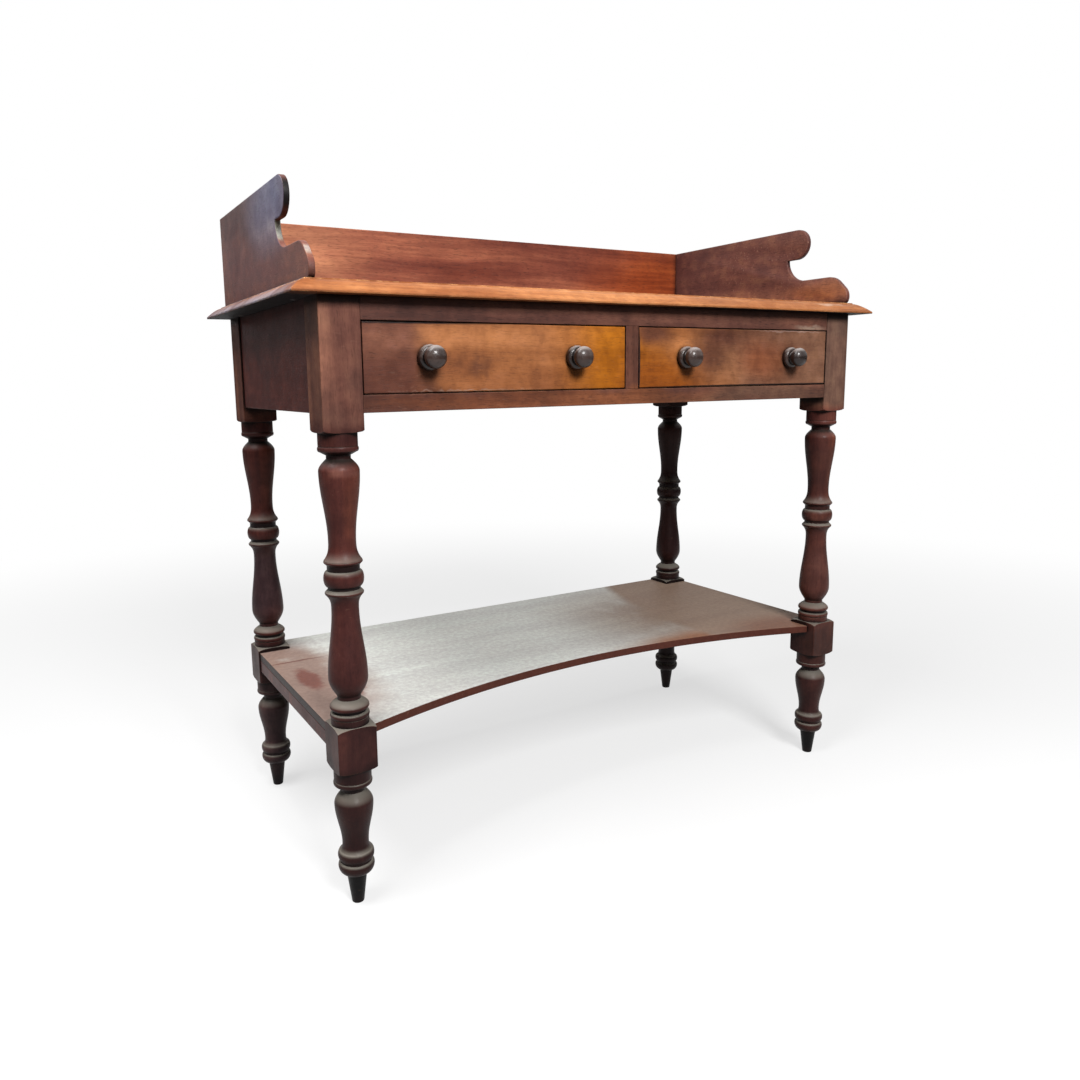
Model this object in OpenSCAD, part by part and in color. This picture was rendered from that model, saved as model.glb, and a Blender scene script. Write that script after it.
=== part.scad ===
// A mahogany washstand: four turned legs, a frieze with two drawers side by side,
// a moulded top board with a scrolled gallery, and a hollow-fronted undershelf.
// X runs along the front, Y from front to back, Z up; the feet stand on Z = 0.

/* [Frame] */
// Width over the outer faces of the legs
base_w = 852; // [760:2:940]
// Depth over the outer faces of the legs
base_d = 409; // [380:1:460]
// Floor to the underside of the top board
stand_h = 725; // [700:1:760]
// Side of the square leg blocks
leg_side = 48; // [46:0.5:50]

/* [Top board] */
// Thickness of the top board
top_t = 17; // [16:0.5:22]
// Overhang of the top board past the legs at each end
top_side_over = 33; // [28:1:40]
// Overhang of the top board past the front legs
top_front_over = 18; // [15:1:24]
// Width of the moulding that runs round the front and the ends
mould_w = 21; // [14:1:21]
// Height of the square lip under the moulding
mould_lip = 2.5; // [1.5:0.5:4]
// Height of the small step above the moulding
mould_step = 1.5; // [1:0.25:2.5]
// Fullness of the moulding: 1 is a plain slope, more is rounder
mould_full = 1.5; // [1.2:0.1:2]

/* [Gallery] */
// Height of the gallery boards above the top board
gallery_h = 125; // [112:1:140]
// Thickness of the gallery boards
gallery_t = 7.5; // [6.5:0.5:12]
// From the end of the top board to the outer face of a gallery side
gallery_inset = 27; // [24:1:32]
// From the front of the top board to the tip of a gallery side
gallery_front = 22; // [21:1:40]
// Height of the round nose at the top of a gallery side
nose_h = 47; // [40:0.5:52]
// How far the nose stops behind the tip of the lower scroll
nose_back = 79; // [66:1:84]
// How far the nose stands out past the cove below it
nose_reach = 42; // [36:1:48]
// Height of the lower scroll above the top board
scroll_h = 43; // [36:1:46]
// Length of the cove under the nose
cove_l = 37; // [28:1:40]
// Radius of the round top of the lower scroll
brow_r = 24; // [18:1:30]
// Radius of the round tip of the lower scroll
scroll_tip_r = 12; // [8:1:14]
// Height of the tucked-in foot of the lower scroll
tuck_h = 10; // [5:1:12]
// How far that foot tucks in
tuck_in = 6; // [2:0.5:8]
// Depth of the housing that takes each end of the gallery back
housing_d = 3; // [2:0.5:4]

/* [Frieze] */
// Height of the aprons, from their lower edge to the top board
frieze_h = 128; // [120:1:140]
// Thickness of the side and back aprons
apron_t = 20; // [16:1:22]
// Set-back of the aprons from the faces of the legs
apron_set = 3; // [1:0.5:5]
// Set-back of the front rails from the faces of the legs
rail_set = 0.8; // [0.5:0.1:1.5]
// Height of the front rail above the drawers
top_rail_h = 26; // [22:1:30]
// Height of the front rail below the drawers
bottom_rail_h = 20; // [16:1:24]
// Width of the upright between the drawers
stile_w = 21; // [18:1:26]

/* [Joints in the frame] */
// Thickness of the tenons
tenon_t = 8; // [6:0.5:10]
// Length of the tenons
tenon_l = 20; // [16:1:21]
// Shoulder above and below each apron tenon
tenon_shoulder = 14; // [10:1:18]
// Width of the rail and stile tenons
tenon_w = 26; // [20:1:28]
// Thickness of the dovetail that lets the upper front rail into a leg
tail_t = 12; // [9:1:13]
// Width of that dovetail at its end
tail_w = 28; // [24:1:32]
// Shoulder above and below each tenon of a shelf rail
shelf_shoulder = 3; // [2:0.5:4]
// Length of the tongues that let runners and kickers into the front rails
tongue_l = 8; // [6:0.5:8]
// Thickness of those tongues
tongue_t = 6; // [5:0.5:8]
// Play between a fitted part and its recess
fit = 0.1; // [0.05:0.05:0.2]

/* [Drawers] */
// Gap between a drawer front and its opening
drawer_gap = 1.2; // [1:0.1:1.8]
// Running clearance under the drawer sides
run_gap = 0.3; // [0.3:0.05:0.4]
// Thickness of the drawer fronts
front_t = 20; // [18:1:24]
// Thickness of the drawer sides and backs
side_t = 10; // [8:0.5:12]
// Space behind the closed drawers
rear_gap = 14; // [8:1:40]
// Wood left in front of the lapped dovetails
lap = 6; // [4:0.5:8]
// Thickness of the drawer bottoms
bottom_t = 6; // [5:0.5:8]
// Height of the drawer bottom above the lower edge
bottom_up = 10; // [8:1:14]
// Depth of the groove for the drawer bottom
groove_d = 5; // [4:0.5:6]
// Number of dovetails at each drawer corner
tail_count = 3; // [2:1:4]
// Slope of the dovetails: sideways growth over length
tail_slope = 0.16; // [0.1:0.01:0.2]

/* [Drawer supports] */
// Width of the side runners and kickers
runner_w = 42; // [36:1:44]
// Width of the centre runner and kicker
centre_w = 58; // [50:1:64]
// Height of the guides above the runners
guide_h = 24; // [18:1:30]
// Play between a drawer side and its guide
guide_gap = 0.6; // [0.4:0.1:1]
// Length of a drawer stop
stop_l = 30; // [20:1:40]
// Depth of a drawer stop
stop_d = 12; // [8:1:16]
// Height of a drawer stop
stop_h = 5; // [4:0.5:6]

/* [Knobs] */
// How far the knobs stand out
knob_out = 29; // [28:1:38]
// Radius of the back flange of a knob
flange_r = 15; // [13:0.5:18]
// Thickness of the back flange
flange_t = 9.5; // [9:0.5:13]
// How far the rim of the flange is rounded over
flange_round = 4; // [3:0.5:5.5]
// Radius of the front bulb of a knob
bulb_r = 13.5; // [12:0.5:16]
// Radius of the neck between flange and bulb
knob_neck_r = 9; // [7.5:0.5:10]
// Length of that neck
knob_neck_l = 3; // [3:0.5:6]
// Length of the bulb behind its widest point
bulb_back = 7; // [6:0.5:9]
// Radius of the spigot glued into the drawer front
spigot_r = 6; // [5:0.5:7]
// Distance between the two knobs of a drawer
knob_span = 205; // [180:5:220]

/* [Undershelf] */
// Height of the shelf surface above the floor
shelf_z = 226; // [210:1:250]
// Thickness of the shelf
shelf_t = 11; // [9:0.5:14]
// Set-back of the shelf ends and their rails from the leg faces
shelf_set = 2; // [1:0.5:4]
// Set-back of the shelf front from the leg faces, beside the legs
shelf_front_set = 14; // [10:1:20]
// Depth of the hollow in the shelf front
hollow = 68; // [50:1:80]
// Height of the rails under the shelf ends
shelf_rail_h = 18; // [15:1:21]
// Thickness of the rails under the shelf ends
shelf_rail_t = 22; // [20:1:26]

/* [Leg turning] */
// Height of the square block at the shelf
shelf_block_h = 44.5; // [42:0.5:50]
// Drop of the upper square block below the aprons
block_drop = 16; // [12:1:24]
// How far the fullest turned parts stay inside the square
full_cut = 0.6; // [0.2:0.1:1]
// How far the plain collars and the sharp-edged discs stay inside the square
collar_cut = 1.4; // [1.1:0.1:2.5]
// How far the joint lines beside a bead go in
bead_cut = 2.5; // [2:0.1:3.5]
// Radius in the grooves between the rings
groove_r = 19; // [18:0.5:20.5]
// Radius of the slim end of each vase
waist_r = 16; // [14.5:0.5:17.5]
// Radius of the necks
neck_r = 14; // [12.5:0.5:15.5]
// Rise of the rounded shoulder between square and round
pommel_h = 5.5; // [4:0.5:7]
// Height of the collars under the upper and the shelf blocks
collar_h = 15; // [11:0.5:16]
// Height of the collar that stands on the shelf block
low_collar_h = 8; // [6:0.5:11]
// Height of a bead
bead_h = 6.5; // [5:0.5:8]
// Height of a groove
groove_h = 3; // [2:0.25:4]
// Height of the domed ring under the lower vase
dome_h = 13; // [10:0.5:16]
// Height of a neck
neck_h = 4; // [3:0.5:5]
// Height of the rounded top of the upper vase
high_shoulder_h = 14; // [10:0.5:16]
// Height of the rounded foot of the lower vase
low_shoulder_h = 22; // [16:0.5:26]
// Height of the large middle ring
torus_h = 19; // [16:0.5:22]
// Height of the steep side of the sharp-edged discs
disc_h = 4.5; // [3:0.5:6]
// Height over which the lower vase flares out to its disc
low_flare_h = 19; // [14:1:24]
// Height over which the upper vase flares out to its disc
high_flare_h = 24; // [18:1:28]
// Centre of the middle ring above the midpoint between the blocks
ring_rise = 4; // [-10:1:20]

/* [Feet] */
// Height of the peg foot
peg_h = 39; // [34:1:42]
// Radius of the peg foot at the floor
peg_tip_r = 7.5; // [6.5:0.5:9]
// Radius of the peg foot at its top
peg_top_r = 12; // [10:0.5:13]
// Height of the ring above the peg foot
foot_ring_h = 16; // [13:0.5:17]
// Height of the second ring above it
foot_top_ring_h = 12; // [10:0.5:14]
// Radius of these two rings
foot_ring_r = 22; // [20.5:0.5:23]
// Where a one-sided ring is widest, as a share of its height
ring_peak = 0.7; // [0.6:0.05:0.8]
// Height over which the foot's vase flares out to its ring
foot_flare_h = 10; // [7:0.5:12]
// Height of the rounded top of the foot's vase
foot_shoulder_h = 16; // [12:0.5:18]

/* [Screws and blocks] */
// Radius of a screw shank
screw_r = 2; // [1.5:0.25:2.5]
// Radius of a countersunk screw head
screw_head_r = 3.8; // [3.5:0.1:4]
// How far a screw bites into the second piece
screw_bite = 8; // [6:0.5:8]
// Width of a triangular glue block
block_side = 24; // [16:1:26]
// Length of a glue block
block_l = 60; // [40:5:80]
// Distance between the two glue blocks behind each drawer
block_pitch = 190; // [120:10:220]
// Distance between the screws into the back of the gallery
back_pitch = 250; // [200:10:280]

/* [Hidden] */

dark_wood = "#4a2620";
mid_wood = "#6b3a26";
warm_wood = "#8a4a25";
pale_wood = "#a98a60";
knob_wood = "#241c1a";
steel = "#8b8d90";

// Segments in a round stretch of an outline
steps = 10;
// How far a cut runs past the face it opens
over = 1;
$fn = 48;
// Facets of the long shallow curve in the front of the shelf
shelf_fn = 180;

// Legs and the space between them
half_w = base_w / 2;
y_front = (knob_out - rail_set - base_d) / 2;
y_back = y_front + base_d;
leg_x = half_w - leg_side / 2;
leg_in = half_w - leg_side;
leg_in_front = y_front + leg_side;
leg_in_back = y_back - leg_side;
square_r = leg_side / sqrt(2) + over;
round_r = leg_side / 2 - full_cut;
collar_r = leg_side / 2 - collar_cut;
bead_r = leg_side / 2 - bead_cut;

// Top board
top_z = stand_h + top_t;
top_half_w = half_w + top_side_over;
top_front = y_front - top_front_over;

// Gallery
gallery_x = top_half_w - gallery_inset;
gallery_tip = top_front + gallery_front;
nose_r = nose_h / 2;
nose_y = gallery_tip + nose_back + nose_r;
cove_y = gallery_tip + nose_back + nose_reach;
cove_h = gallery_h - nose_h - scroll_h;
// The front of the lower scroll runs at 45 degrees from its brow to its tip
scroll_l = scroll_h - tuck_h + (brow_r - scroll_tip_r) * (sqrt(2) - 1);
nose_z = gallery_h - nose_r;

// Frieze
frieze_z = stand_h - frieze_h;
apron_out = half_w - apron_set;
apron_in = apron_out - apron_t;
back_out = y_back - apron_set;
back_in = back_out - apron_t;
rail_y = y_front + rail_set;
opening_z = frieze_z + bottom_rail_h;
opening_top = stand_h - top_rail_h;
opening_w = leg_in - stile_w / 2;
tail_neck = tail_w - 2 * tenon_l * tail_slope;
rail_mid_y = (rail_y + leg_in_front) / 2;

// Drawers
drawer_x = (leg_in + stile_w / 2) / 2;
drawer_w = opening_w - 2 * drawer_gap;
drawer_rear = back_in - rear_gap;
side_z = opening_z + run_gap;
side_top = opening_top - 2 * drawer_gap;
front_z = opening_z + drawer_gap;
front_top = opening_top - drawer_gap;
groove_z = side_z + bottom_up;
bottom_top = groove_z + bottom_t + fit;
back_top = side_top - side_t / 2;
front_rear = rail_y + front_t;
half_in = drawer_w / 2 - side_t;
knob_z = (front_z + front_top) / 2;
guide_in = leg_in - drawer_gap + guide_gap;
guide_half = stile_w / 2 + drawer_gap - guide_gap;
runner_mid = frieze_z + bottom_rail_h / 2;
kicker_mid = opening_top + top_rail_h / 2;
// Drawer stops and bottom screws sit at the quarter points of a drawer
stop_x = drawer_w / 4;

// Undershelf
shelf_low = shelf_z - shelf_t;
shelf_half_w = half_w - shelf_set;
shelf_front = y_front + shelf_front_set;
hollow_r = (pow(leg_in, 2) + pow(hollow, 2)) / (2 * hollow);
shelf_block_z = shelf_z - shelf_block_h;
shelf_rail_z = shelf_low - shelf_rail_h;
upper_block_z = frieze_z - block_drop;

// ---- Shared shapes ----

// A box between two opposite corners, given as ranges
module box(x, y, z) {
    translate([x[0], y[0], z[0]]) cube([x[1] - x[0], y[1] - y[0], z[1] - z[0]]);
}

// Keeps a left-hand piece, or mirrors it to the right
module on_side(side) {
    if (side < 0) children();
    else mirror([1, 0, 0]) children();
}

// Extrudes an outline drawn in Y and Z along X
module along_x(x0, x1) {
    translate([x0, 0, 0]) rotate([90, 0, 90]) linear_extrude(height = x1 - x0) children();
}

// Extrudes an outline drawn in X and Z along Y
module along_y(y0, y1) {
    translate([0, y1, 0]) rotate([90, 0, 0]) linear_extrude(height = y1 - y0) children();
}

// Points of an elliptical arc about c from angle a0 to a1
function arc(c, rx, ry, a0, a1, n = steps) = [
    for (i = [0:n])
        let (a = a0 + (a1 - a0) * i / n)
        [c[0] + rx * cos(a), c[1] + ry * sin(a)]
];

// A countersunk screw driven upwards, its head at height z
module screw(z, length, grow = 0) {
    translate([0, 0, z - grow])
        cylinder(h = screw_head_r + grow, r1 = screw_head_r + grow, r2 = grow);
    translate([0, 0, z]) cylinder(h = length + grow, r = screw_r + grow);
}

// ---- Leg profile: lists of [radius, height], from the bottom up ----

// A rounded ring
function ring(z, h, r, root) = arc([root, z + h / 2], r - root, h / 2, -90, 90);

// An S-shaped change of radius
function sweep(z0, z1, r0, r1) = [
    for (i = [0:steps])
        let (t = i / steps)
        [r0 + (r1 - r0) * (1 - cos(180 * t)) / 2, z0 + (z1 - z0) * t]
];

// A stretch that flares out towards its upper end
function flare_up(z0, z1, r0, r1) = [
    for (i = [0:steps])
        let (t = i / steps)
        [r0 + (r1 - r0) * pow(t, 3), z0 + (z1 - z0) * t]
];

// A stretch that flares out towards its lower end
function flare_down(z0, z1, r0, r1) = [
    for (i = [0:steps])
        let (t = i / steps)
        [r1 + (r0 - r1) * pow(1 - t, 3), z0 + (z1 - z0) * t]
];

// The rounded end of a vase, opening upwards from a neck
function open_up(z0, z1, narrow, wide) = [
    for (i = [0:steps])
        let (t = i / steps)
        [narrow + (wide - narrow) * sin(90 * t), z0 + (z1 - z0) * t]
];

// The rounded end of a vase, closing upwards to a neck
function close_up(z0, z1, wide, narrow) = [
    for (i = [0:steps])
        let (t = i / steps)
        [narrow + (wide - narrow) * cos(90 * t), z0 + (z1 - z0) * t]
];

// A ring that swells out of a thinner stem and closes to a groove
function cup(z, h, r, stem, root) = concat(
    arc([stem, z + h * ring_peak], r - stem, h * ring_peak, -90, 0),
    arc([root, z + h * ring_peak], r - root, h * (1 - ring_peak), 0, 90)
);

// A ring that swells out of a groove and closes slowly to a neck
function dome(z, h, r, root, neck) = concat(
    arc([root, z + h * (1 - ring_peak)], r - root, h * (1 - ring_peak), -90, 0),
    close_up(z + h * (1 - ring_peak), z + h, r, neck)
);

// Foot: peg, two rings, small vase, neck, bead and collar
foot_ring1 = peg_h + foot_ring_h;
foot_ring2 = foot_ring1 + groove_h;
foot_flare = foot_ring2 + foot_top_ring_h;
foot_waist = foot_flare + foot_flare_h;
foot_collar = shelf_block_z - pommel_h - collar_h;
foot_bead = foot_collar - bead_h;
foot_neck = foot_bead - 2 * neck_h;
foot_wide = foot_neck - foot_shoulder_h;
foot_profile = concat(
    [[0, 0], [peg_tip_r, 0], [peg_top_r, peg_h - groove_h], [peg_top_r, peg_h]],
    cup(peg_h, foot_ring_h, foot_ring_r, peg_top_r, groove_r),
    ring(foot_ring2, foot_top_ring_h, foot_ring_r, groove_r),
    flare_down(foot_flare, foot_waist, groove_r, waist_r),
    sweep(foot_waist, foot_wide, waist_r, round_r),
    close_up(foot_wide, foot_neck, round_r, neck_r),
    [[neck_r, foot_neck + neck_h]],
    ring(foot_bead, bead_h, round_r, bead_r),
    [[collar_r, foot_collar]]
);

// Square block between its two rounded shoulders
function block(z0, z1) = concat(
    arc([collar_r, z0], square_r - collar_r, pommel_h, -90, 0),
    arc([collar_r, z1], square_r - collar_r, pommel_h, 0, 90)
);

// Long turning: collar, bead, domed ring and lower vase
low_bead = shelf_z + pommel_h + low_collar_h;
dome_z = low_bead + bead_h + groove_h;
low_neck = dome_z + dome_h;
low_wide = low_neck + neck_h + low_shoulder_h;
torus_z = (shelf_z + upper_block_z - torus_h) / 2 + ring_rise;
low_edge = torus_z - groove_h - disc_h;
low_waist = low_edge - low_flare_h;
low_profile = concat(
    [[collar_r, low_bead]],
    ring(low_bead, bead_h, round_r, bead_r),
    [[groove_r, low_bead + bead_h]],
    dome(dome_z, dome_h, round_r, groove_r, neck_r),
    open_up(low_neck + neck_h, low_wide, neck_r, round_r),
    sweep(low_wide, low_waist, round_r, waist_r),
    flare_up(low_waist, low_edge, waist_r, collar_r),
    [[groove_r, low_edge + disc_h]]
);

// Middle ring, upper vase, neck, bead and collar
high_groove = torus_z + torus_h;
high_edge = high_groove + 2 * groove_h + disc_h;
high_waist = high_edge + high_flare_h;
high_collar = upper_block_z - pommel_h - collar_h;
high_bead = high_collar - bead_h;
high_neck = high_bead - 2 * neck_h;
high_wide = high_neck - high_shoulder_h;
high_profile = concat(
    ring(torus_z, torus_h, round_r, groove_r),
    [[groove_r, high_edge - disc_h]],
    flare_down(high_edge, high_waist, collar_r, waist_r),
    sweep(high_waist, high_wide, waist_r, round_r),
    close_up(high_wide, high_neck, round_r, neck_r),
    [[neck_r, high_neck + neck_h]],
    ring(high_bead, bead_h, round_r, bead_r),
    [[collar_r, high_collar]]
);

leg_profile = concat(
    foot_profile,
    block(shelf_block_z, shelf_z),
    low_profile,
    high_profile,
    arc([collar_r, upper_block_z], square_r - collar_r, pommel_h, -90, 0),
    [[square_r, stand_h], [0, stand_h]]
);

// One leg, turned from square stock, with its axis on Z
module turned_leg() {
    intersection() {
        rotate_extrude() polygon(leg_profile);
        box([-leg_side / 2, leg_side / 2], [-leg_side / 2, leg_side / 2], [0, stand_h]);
    }
}

// ---- Frame ----

// Tenons of the left apron; grown, they are the mortises in the legs
module side_tenons(grow = 0) {
    x = (apron_out + apron_in) / 2;
    box(
        [-x - tenon_t / 2 - grow, -x + tenon_t / 2 + grow],
        [leg_in_front - tenon_l - grow, leg_in_back + tenon_l + grow],
        [frieze_z + tenon_shoulder - grow, stand_h - tenon_shoulder + grow]
    );
}

// Tenons of the back apron
module back_tenons(grow = 0) {
    y = (back_out + back_in) / 2;
    box(
        [-leg_in - tenon_l - grow, leg_in + tenon_l + grow],
        [y - tenon_t / 2 - grow, y + tenon_t / 2 + grow],
        [frieze_z + tenon_shoulder - grow, stand_h - tenon_shoulder + grow]
    );
}

// Tenons of the lower front rail
module rail_tenons(grow = 0) {
    z = runner_mid;
    box(
        [-leg_in - tenon_l - grow, leg_in + tenon_l + grow],
        [rail_mid_y - tenon_w / 2 - grow, rail_mid_y + tenon_w / 2 + grow],
        [z - tenon_t / 2 - grow, z + tenon_t / 2 + grow]
    );
}

// Tenons of the left shelf rail
module shelf_tenons(grow = 0) {
    x = shelf_half_w - shelf_rail_t / 2;
    box(
        [-x - tenon_t / 2 - grow, -x + tenon_t / 2 + grow],
        [leg_in_front - tenon_l - grow, leg_in_back + tenon_l + grow],
        [shelf_rail_z + shelf_shoulder - grow, shelf_low - shelf_shoulder + grow]
    );
}

// Dovetail at the left end of the upper front rail, widening into the leg
module rail_tail(grow = 0) {
    end = -leg_in - tenon_l - grow;
    translate([0, rail_mid_y, stand_h - tail_t - grow])
        linear_extrude(height = tail_t + grow)
            polygon([
                [-leg_in, -tail_neck / 2 - grow],
                [-leg_in, tail_neck / 2 + grow],
                [end, tail_w / 2 + grow],
                [end, -tail_w / 2 - grow]
            ]);
}

module leg_front(side) {
    color(dark_wood) on_side(side) difference() {
        translate([-leg_x, y_front + leg_side / 2, 0]) turned_leg();
        side_tenons(fit);
        rail_tenons(fit);
        rail_tail(fit);
        shelf_tenons(fit);
    }
}

module leg_back(side) {
    color(dark_wood) on_side(side) difference() {
        translate([-leg_x, y_back - leg_side / 2, 0]) turned_leg();
        side_tenons(fit);
        back_tenons(fit);
        shelf_tenons(fit);
    }
}

module apron(side) {
    color(mid_wood) on_side(side) {
        box([-apron_out, -apron_in], [leg_in_front, leg_in_back], [frieze_z, stand_h]);
        side_tenons();
    }
}

module apron_back() {
    color(mid_wood) {
        box([-leg_in, leg_in], [back_in, back_out], [frieze_z, stand_h]);
        back_tenons();
    }
}

module front_top_rail() {
    color(mid_wood) difference() {
        union() {
            box([-leg_in, leg_in], [rail_y, leg_in_front], [opening_top, stand_h]);
            for (side = [-1, 1]) on_side(side) rail_tail();
        }
        stile_tenons(fit);
        for (side = [-1, 1]) on_side(side) side_tongue(kicker_mid, fit);
        centre_tongue(kicker_mid, fit);
    }
}

module front_bottom_rail() {
    color(mid_wood) difference() {
        union() {
            box([-leg_in, leg_in], [rail_y, leg_in_front], [frieze_z, opening_z]);
            rail_tenons();
        }
        stile_tenons(fit);
        for (side = [-1, 1]) on_side(side) side_tongue(runner_mid, fit);
        centre_tongue(runner_mid, fit);
    }
}

// Stub tenons at both ends of the centre stile
module stile_tenons(grow = 0) {
    box(
        [-tenon_t / 2 - grow, tenon_t / 2 + grow],
        [rail_mid_y - tenon_w / 2 - grow, rail_mid_y + tenon_w / 2 + grow],
        [opening_z - tenon_t - grow, opening_top + tenon_t + grow]
    );
}

module centre_stile() {
    color(mid_wood) {
        box([-stile_w / 2, stile_w / 2], [rail_y, leg_in_front], [opening_z, opening_top]);
        stile_tenons();
    }
}

// ---- Drawer supports ----

// Tongue at the front end of a left runner or kicker, at height z
module side_tongue(z, grow = 0) {
    box(
        [-leg_in + fit - grow, runner_w - apron_in + grow],
        [leg_in_front - tongue_l - grow, leg_in_front + grow],
        [z - tongue_t / 2 - grow, z + tongue_t / 2 + grow]
    );
}

// The same at the front end of the centre runner or kicker
module centre_tongue(z, grow = 0) {
    box(
        [-centre_w / 2 - grow, centre_w / 2 + grow],
        [leg_in_front - tongue_l - grow, leg_in_front + grow],
        [z - tongue_t / 2 - grow, z + tongue_t / 2 + grow]
    );
}

module runner_side(side) {
    color(pale_wood) on_side(side) {
        side_tongue(runner_mid);
        difference() {
            box([-apron_in, runner_w - apron_in], [leg_in_front, back_in], [frieze_z, opening_z]);
            box(
                [-apron_in - over, -leg_in + fit],
                [leg_in_back - fit, back_in + over],
                [frieze_z - over, opening_z + over]
            );
        }
    }
}

module runner_centre() {
    color(pale_wood) {
        centre_tongue(runner_mid);
        box([-centre_w / 2, centre_w / 2], [leg_in_front, back_in], [frieze_z, opening_z]);
    }
}

module guide_side(side) {
    color(pale_wood) on_side(side)
        box([-apron_in, -guide_in], [leg_in_front, leg_in_back], [opening_z, opening_z + guide_h]);
}

module guide_centre() {
    color(pale_wood)
        box([-guide_half, guide_half], [leg_in_front, back_in], [opening_z, opening_z + guide_h]);
}

module kicker_side(side) {
    color(pale_wood) difference() {
        on_side(side) {
            side_tongue(kicker_mid);
            box([-apron_in, runner_w - apron_in], [leg_in_front, leg_in_back], [opening_top, stand_h]);
        }
        top_screw_set(fit);
    }
}

module kicker_centre() {
    color(pale_wood) difference() {
        union() {
            centre_tongue(kicker_mid);
            box([-centre_w / 2, centre_w / 2], [leg_in_front, back_in], [opening_top, stand_h]);
        }
        top_screw_set(fit);
    }
}

// Stops glued on the lower rail, just behind the closed drawer fronts
module drawer_stops() {
    color(pale_wood)
        for (x = [-drawer_x - stop_x, stop_x - drawer_x, drawer_x - stop_x, drawer_x + stop_x])
            translate([x - stop_l / 2, front_rear + run_gap, opening_z])
                cube([stop_l, stop_d, stop_h]);
}

// ---- Top and gallery ----

// Moulded edge, from its lip at the origin up and inwards: lip, thumb and step
mould_h = top_t - mould_lip - mould_step;
mould_edge = concat(
    [[0, 0], [0, mould_lip]],
    [for (i = [0:steps])
        let (t = i / steps)
        [mould_w * t, mould_lip + mould_h * (1 - pow(1 - t, mould_full))]],
    [[mould_w, top_t]]
);

module top_board() {
    front = [for (p = mould_edge) [top_front + p[0], stand_h + p[1]]];
    left = [for (p = mould_edge) [-top_half_w + p[0], stand_h + p[1]]];
    right = [for (i = [len(left) - 1:-1:0]) [-left[i][0], left[i][1]]];
    color(warm_wood) difference() {
        intersection() {
            along_x(-top_half_w, top_half_w)
                polygon(concat(front, [[y_back, top_z], [y_back, stand_h]]));
            along_y(top_front, y_back) polygon(concat(left, right));
        }
        gallery_screw_set(fit);
        top_screw_set(fit);
    }
}

// Side of the gallery: nose above, cove, and a lower scroll that tucks under
gallery_outline = concat(
    [[y_back, 0], [y_back, gallery_h]],
    arc([nose_y, nose_z], nose_r, nose_r, 90, 270, 2 * steps),
    arc([cove_y - cove_l, scroll_h + cove_h], cove_l, cove_h, 0, -90),
    arc([gallery_tip + scroll_l, scroll_h - brow_r], brow_r, brow_r, 90, 135),
    arc([gallery_tip + scroll_tip_r, tuck_h], scroll_tip_r, scroll_tip_r, 135, 180),
    arc([gallery_tip + tuck_in, tuck_h], tuck_in, tuck_h, 180, 270)
);

module gallery_side(side) {
    color(warm_wood) on_side(side) difference() {
        translate([0, 0, top_z])
            along_x(-gallery_x, -gallery_x + gallery_t) polygon(gallery_outline);
        gallery_back_board(fit);
        gallery_screw_set(fit);
    }
}

module gallery_back_board(grow = 0) {
    end = gallery_x - gallery_t + housing_d + grow;
    box(
        [-end, end],
        [y_back - gallery_t - grow, y_back + grow],
        [top_z - grow, top_z + gallery_h + grow]
    );
}

module gallery_back() {
    color(warm_wood) difference() {
        gallery_back_board();
        gallery_screw_set(fit);
    }
}

// ---- Screws and glue blocks ----

gallery_side_x = gallery_x - gallery_t / 2;
gallery_screw_l = top_t + screw_bite;
top_screw_l = top_rail_h + screw_bite;
kicker_screws = [leg_in_front + block_l, leg_in_back - block_l];
kicker_x = apron_in - runner_w / 2;
side_screws = [leg_in_front + block_l / 2, leg_in_back - block_l / 2];
back_screws = [-back_pitch, 0, back_pitch];
shelf_screw_x = shelf_half_w - shelf_rail_t / 2;
shelf_screw_l = shelf_rail_h + screw_bite;

// Screws up through the top board into the gallery
module gallery_screw_set(grow = 0) {
    for (side = [-1, 1])
        for (y = side_screws)
            translate([side * gallery_side_x, y, 0]) screw(stand_h, gallery_screw_l, grow);
    for (x = back_screws)
        translate([x, y_back - gallery_t / 2, 0]) screw(stand_h, gallery_screw_l, grow);
}

// Screws up through the kickers into the top board
module top_screw_set(grow = 0) {
    for (x = [-kicker_x, 0, kicker_x])
        for (y = kicker_screws)
            translate([x, y, 0]) screw(opening_top, top_screw_l, grow);
}

// Screws up through the shelf rails into the shelf
module shelf_screw_set(grow = 0) {
    for (side = [-1, 1])
        for (y = side_screws)
            translate([side * shelf_screw_x, y, 0]) screw(shelf_rail_z, shelf_screw_l, grow);
}

module gallery_screws() {
    color(steel) gallery_screw_set();
}

module top_screws() {
    color(steel) top_screw_set();
}

module shelf_screws() {
    color(steel) shelf_screw_set();
}

// Triangular blocks in the corner between the back apron and the top board
module glue_blocks() {
    color(pale_wood)
        for (drawer = [-drawer_x, drawer_x], x = [-block_pitch / 2, block_pitch / 2])
            along_x(drawer + x - block_l / 2, drawer + x + block_l / 2)
                polygon([
                    [back_in, stand_h],
                    [back_in - block_side, stand_h],
                    [back_in, stand_h - block_side]
                ]);
}

// ---- Undershelf ----

// The room that the two left legs take out of the shelf
module leg_notches() {
    x = [-half_w, -leg_in + fit];
    z = [shelf_low - over, shelf_z + over];
    box(x, [y_front, leg_in_front + fit], z);
    box(x, [leg_in_back - fit, y_back + over], z);
}

module shelf() {
    color(mid_wood) difference() {
        box([-shelf_half_w, shelf_half_w], [shelf_front, y_back], [shelf_low, shelf_z]);
        translate([0, shelf_front + hollow - hollow_r, shelf_low - over])
            cylinder(h = shelf_t + 2 * over, r = hollow_r, $fn = shelf_fn);
        for (side = [-1, 1]) on_side(side) leg_notches();
        shelf_screw_set(fit);
    }
}

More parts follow.
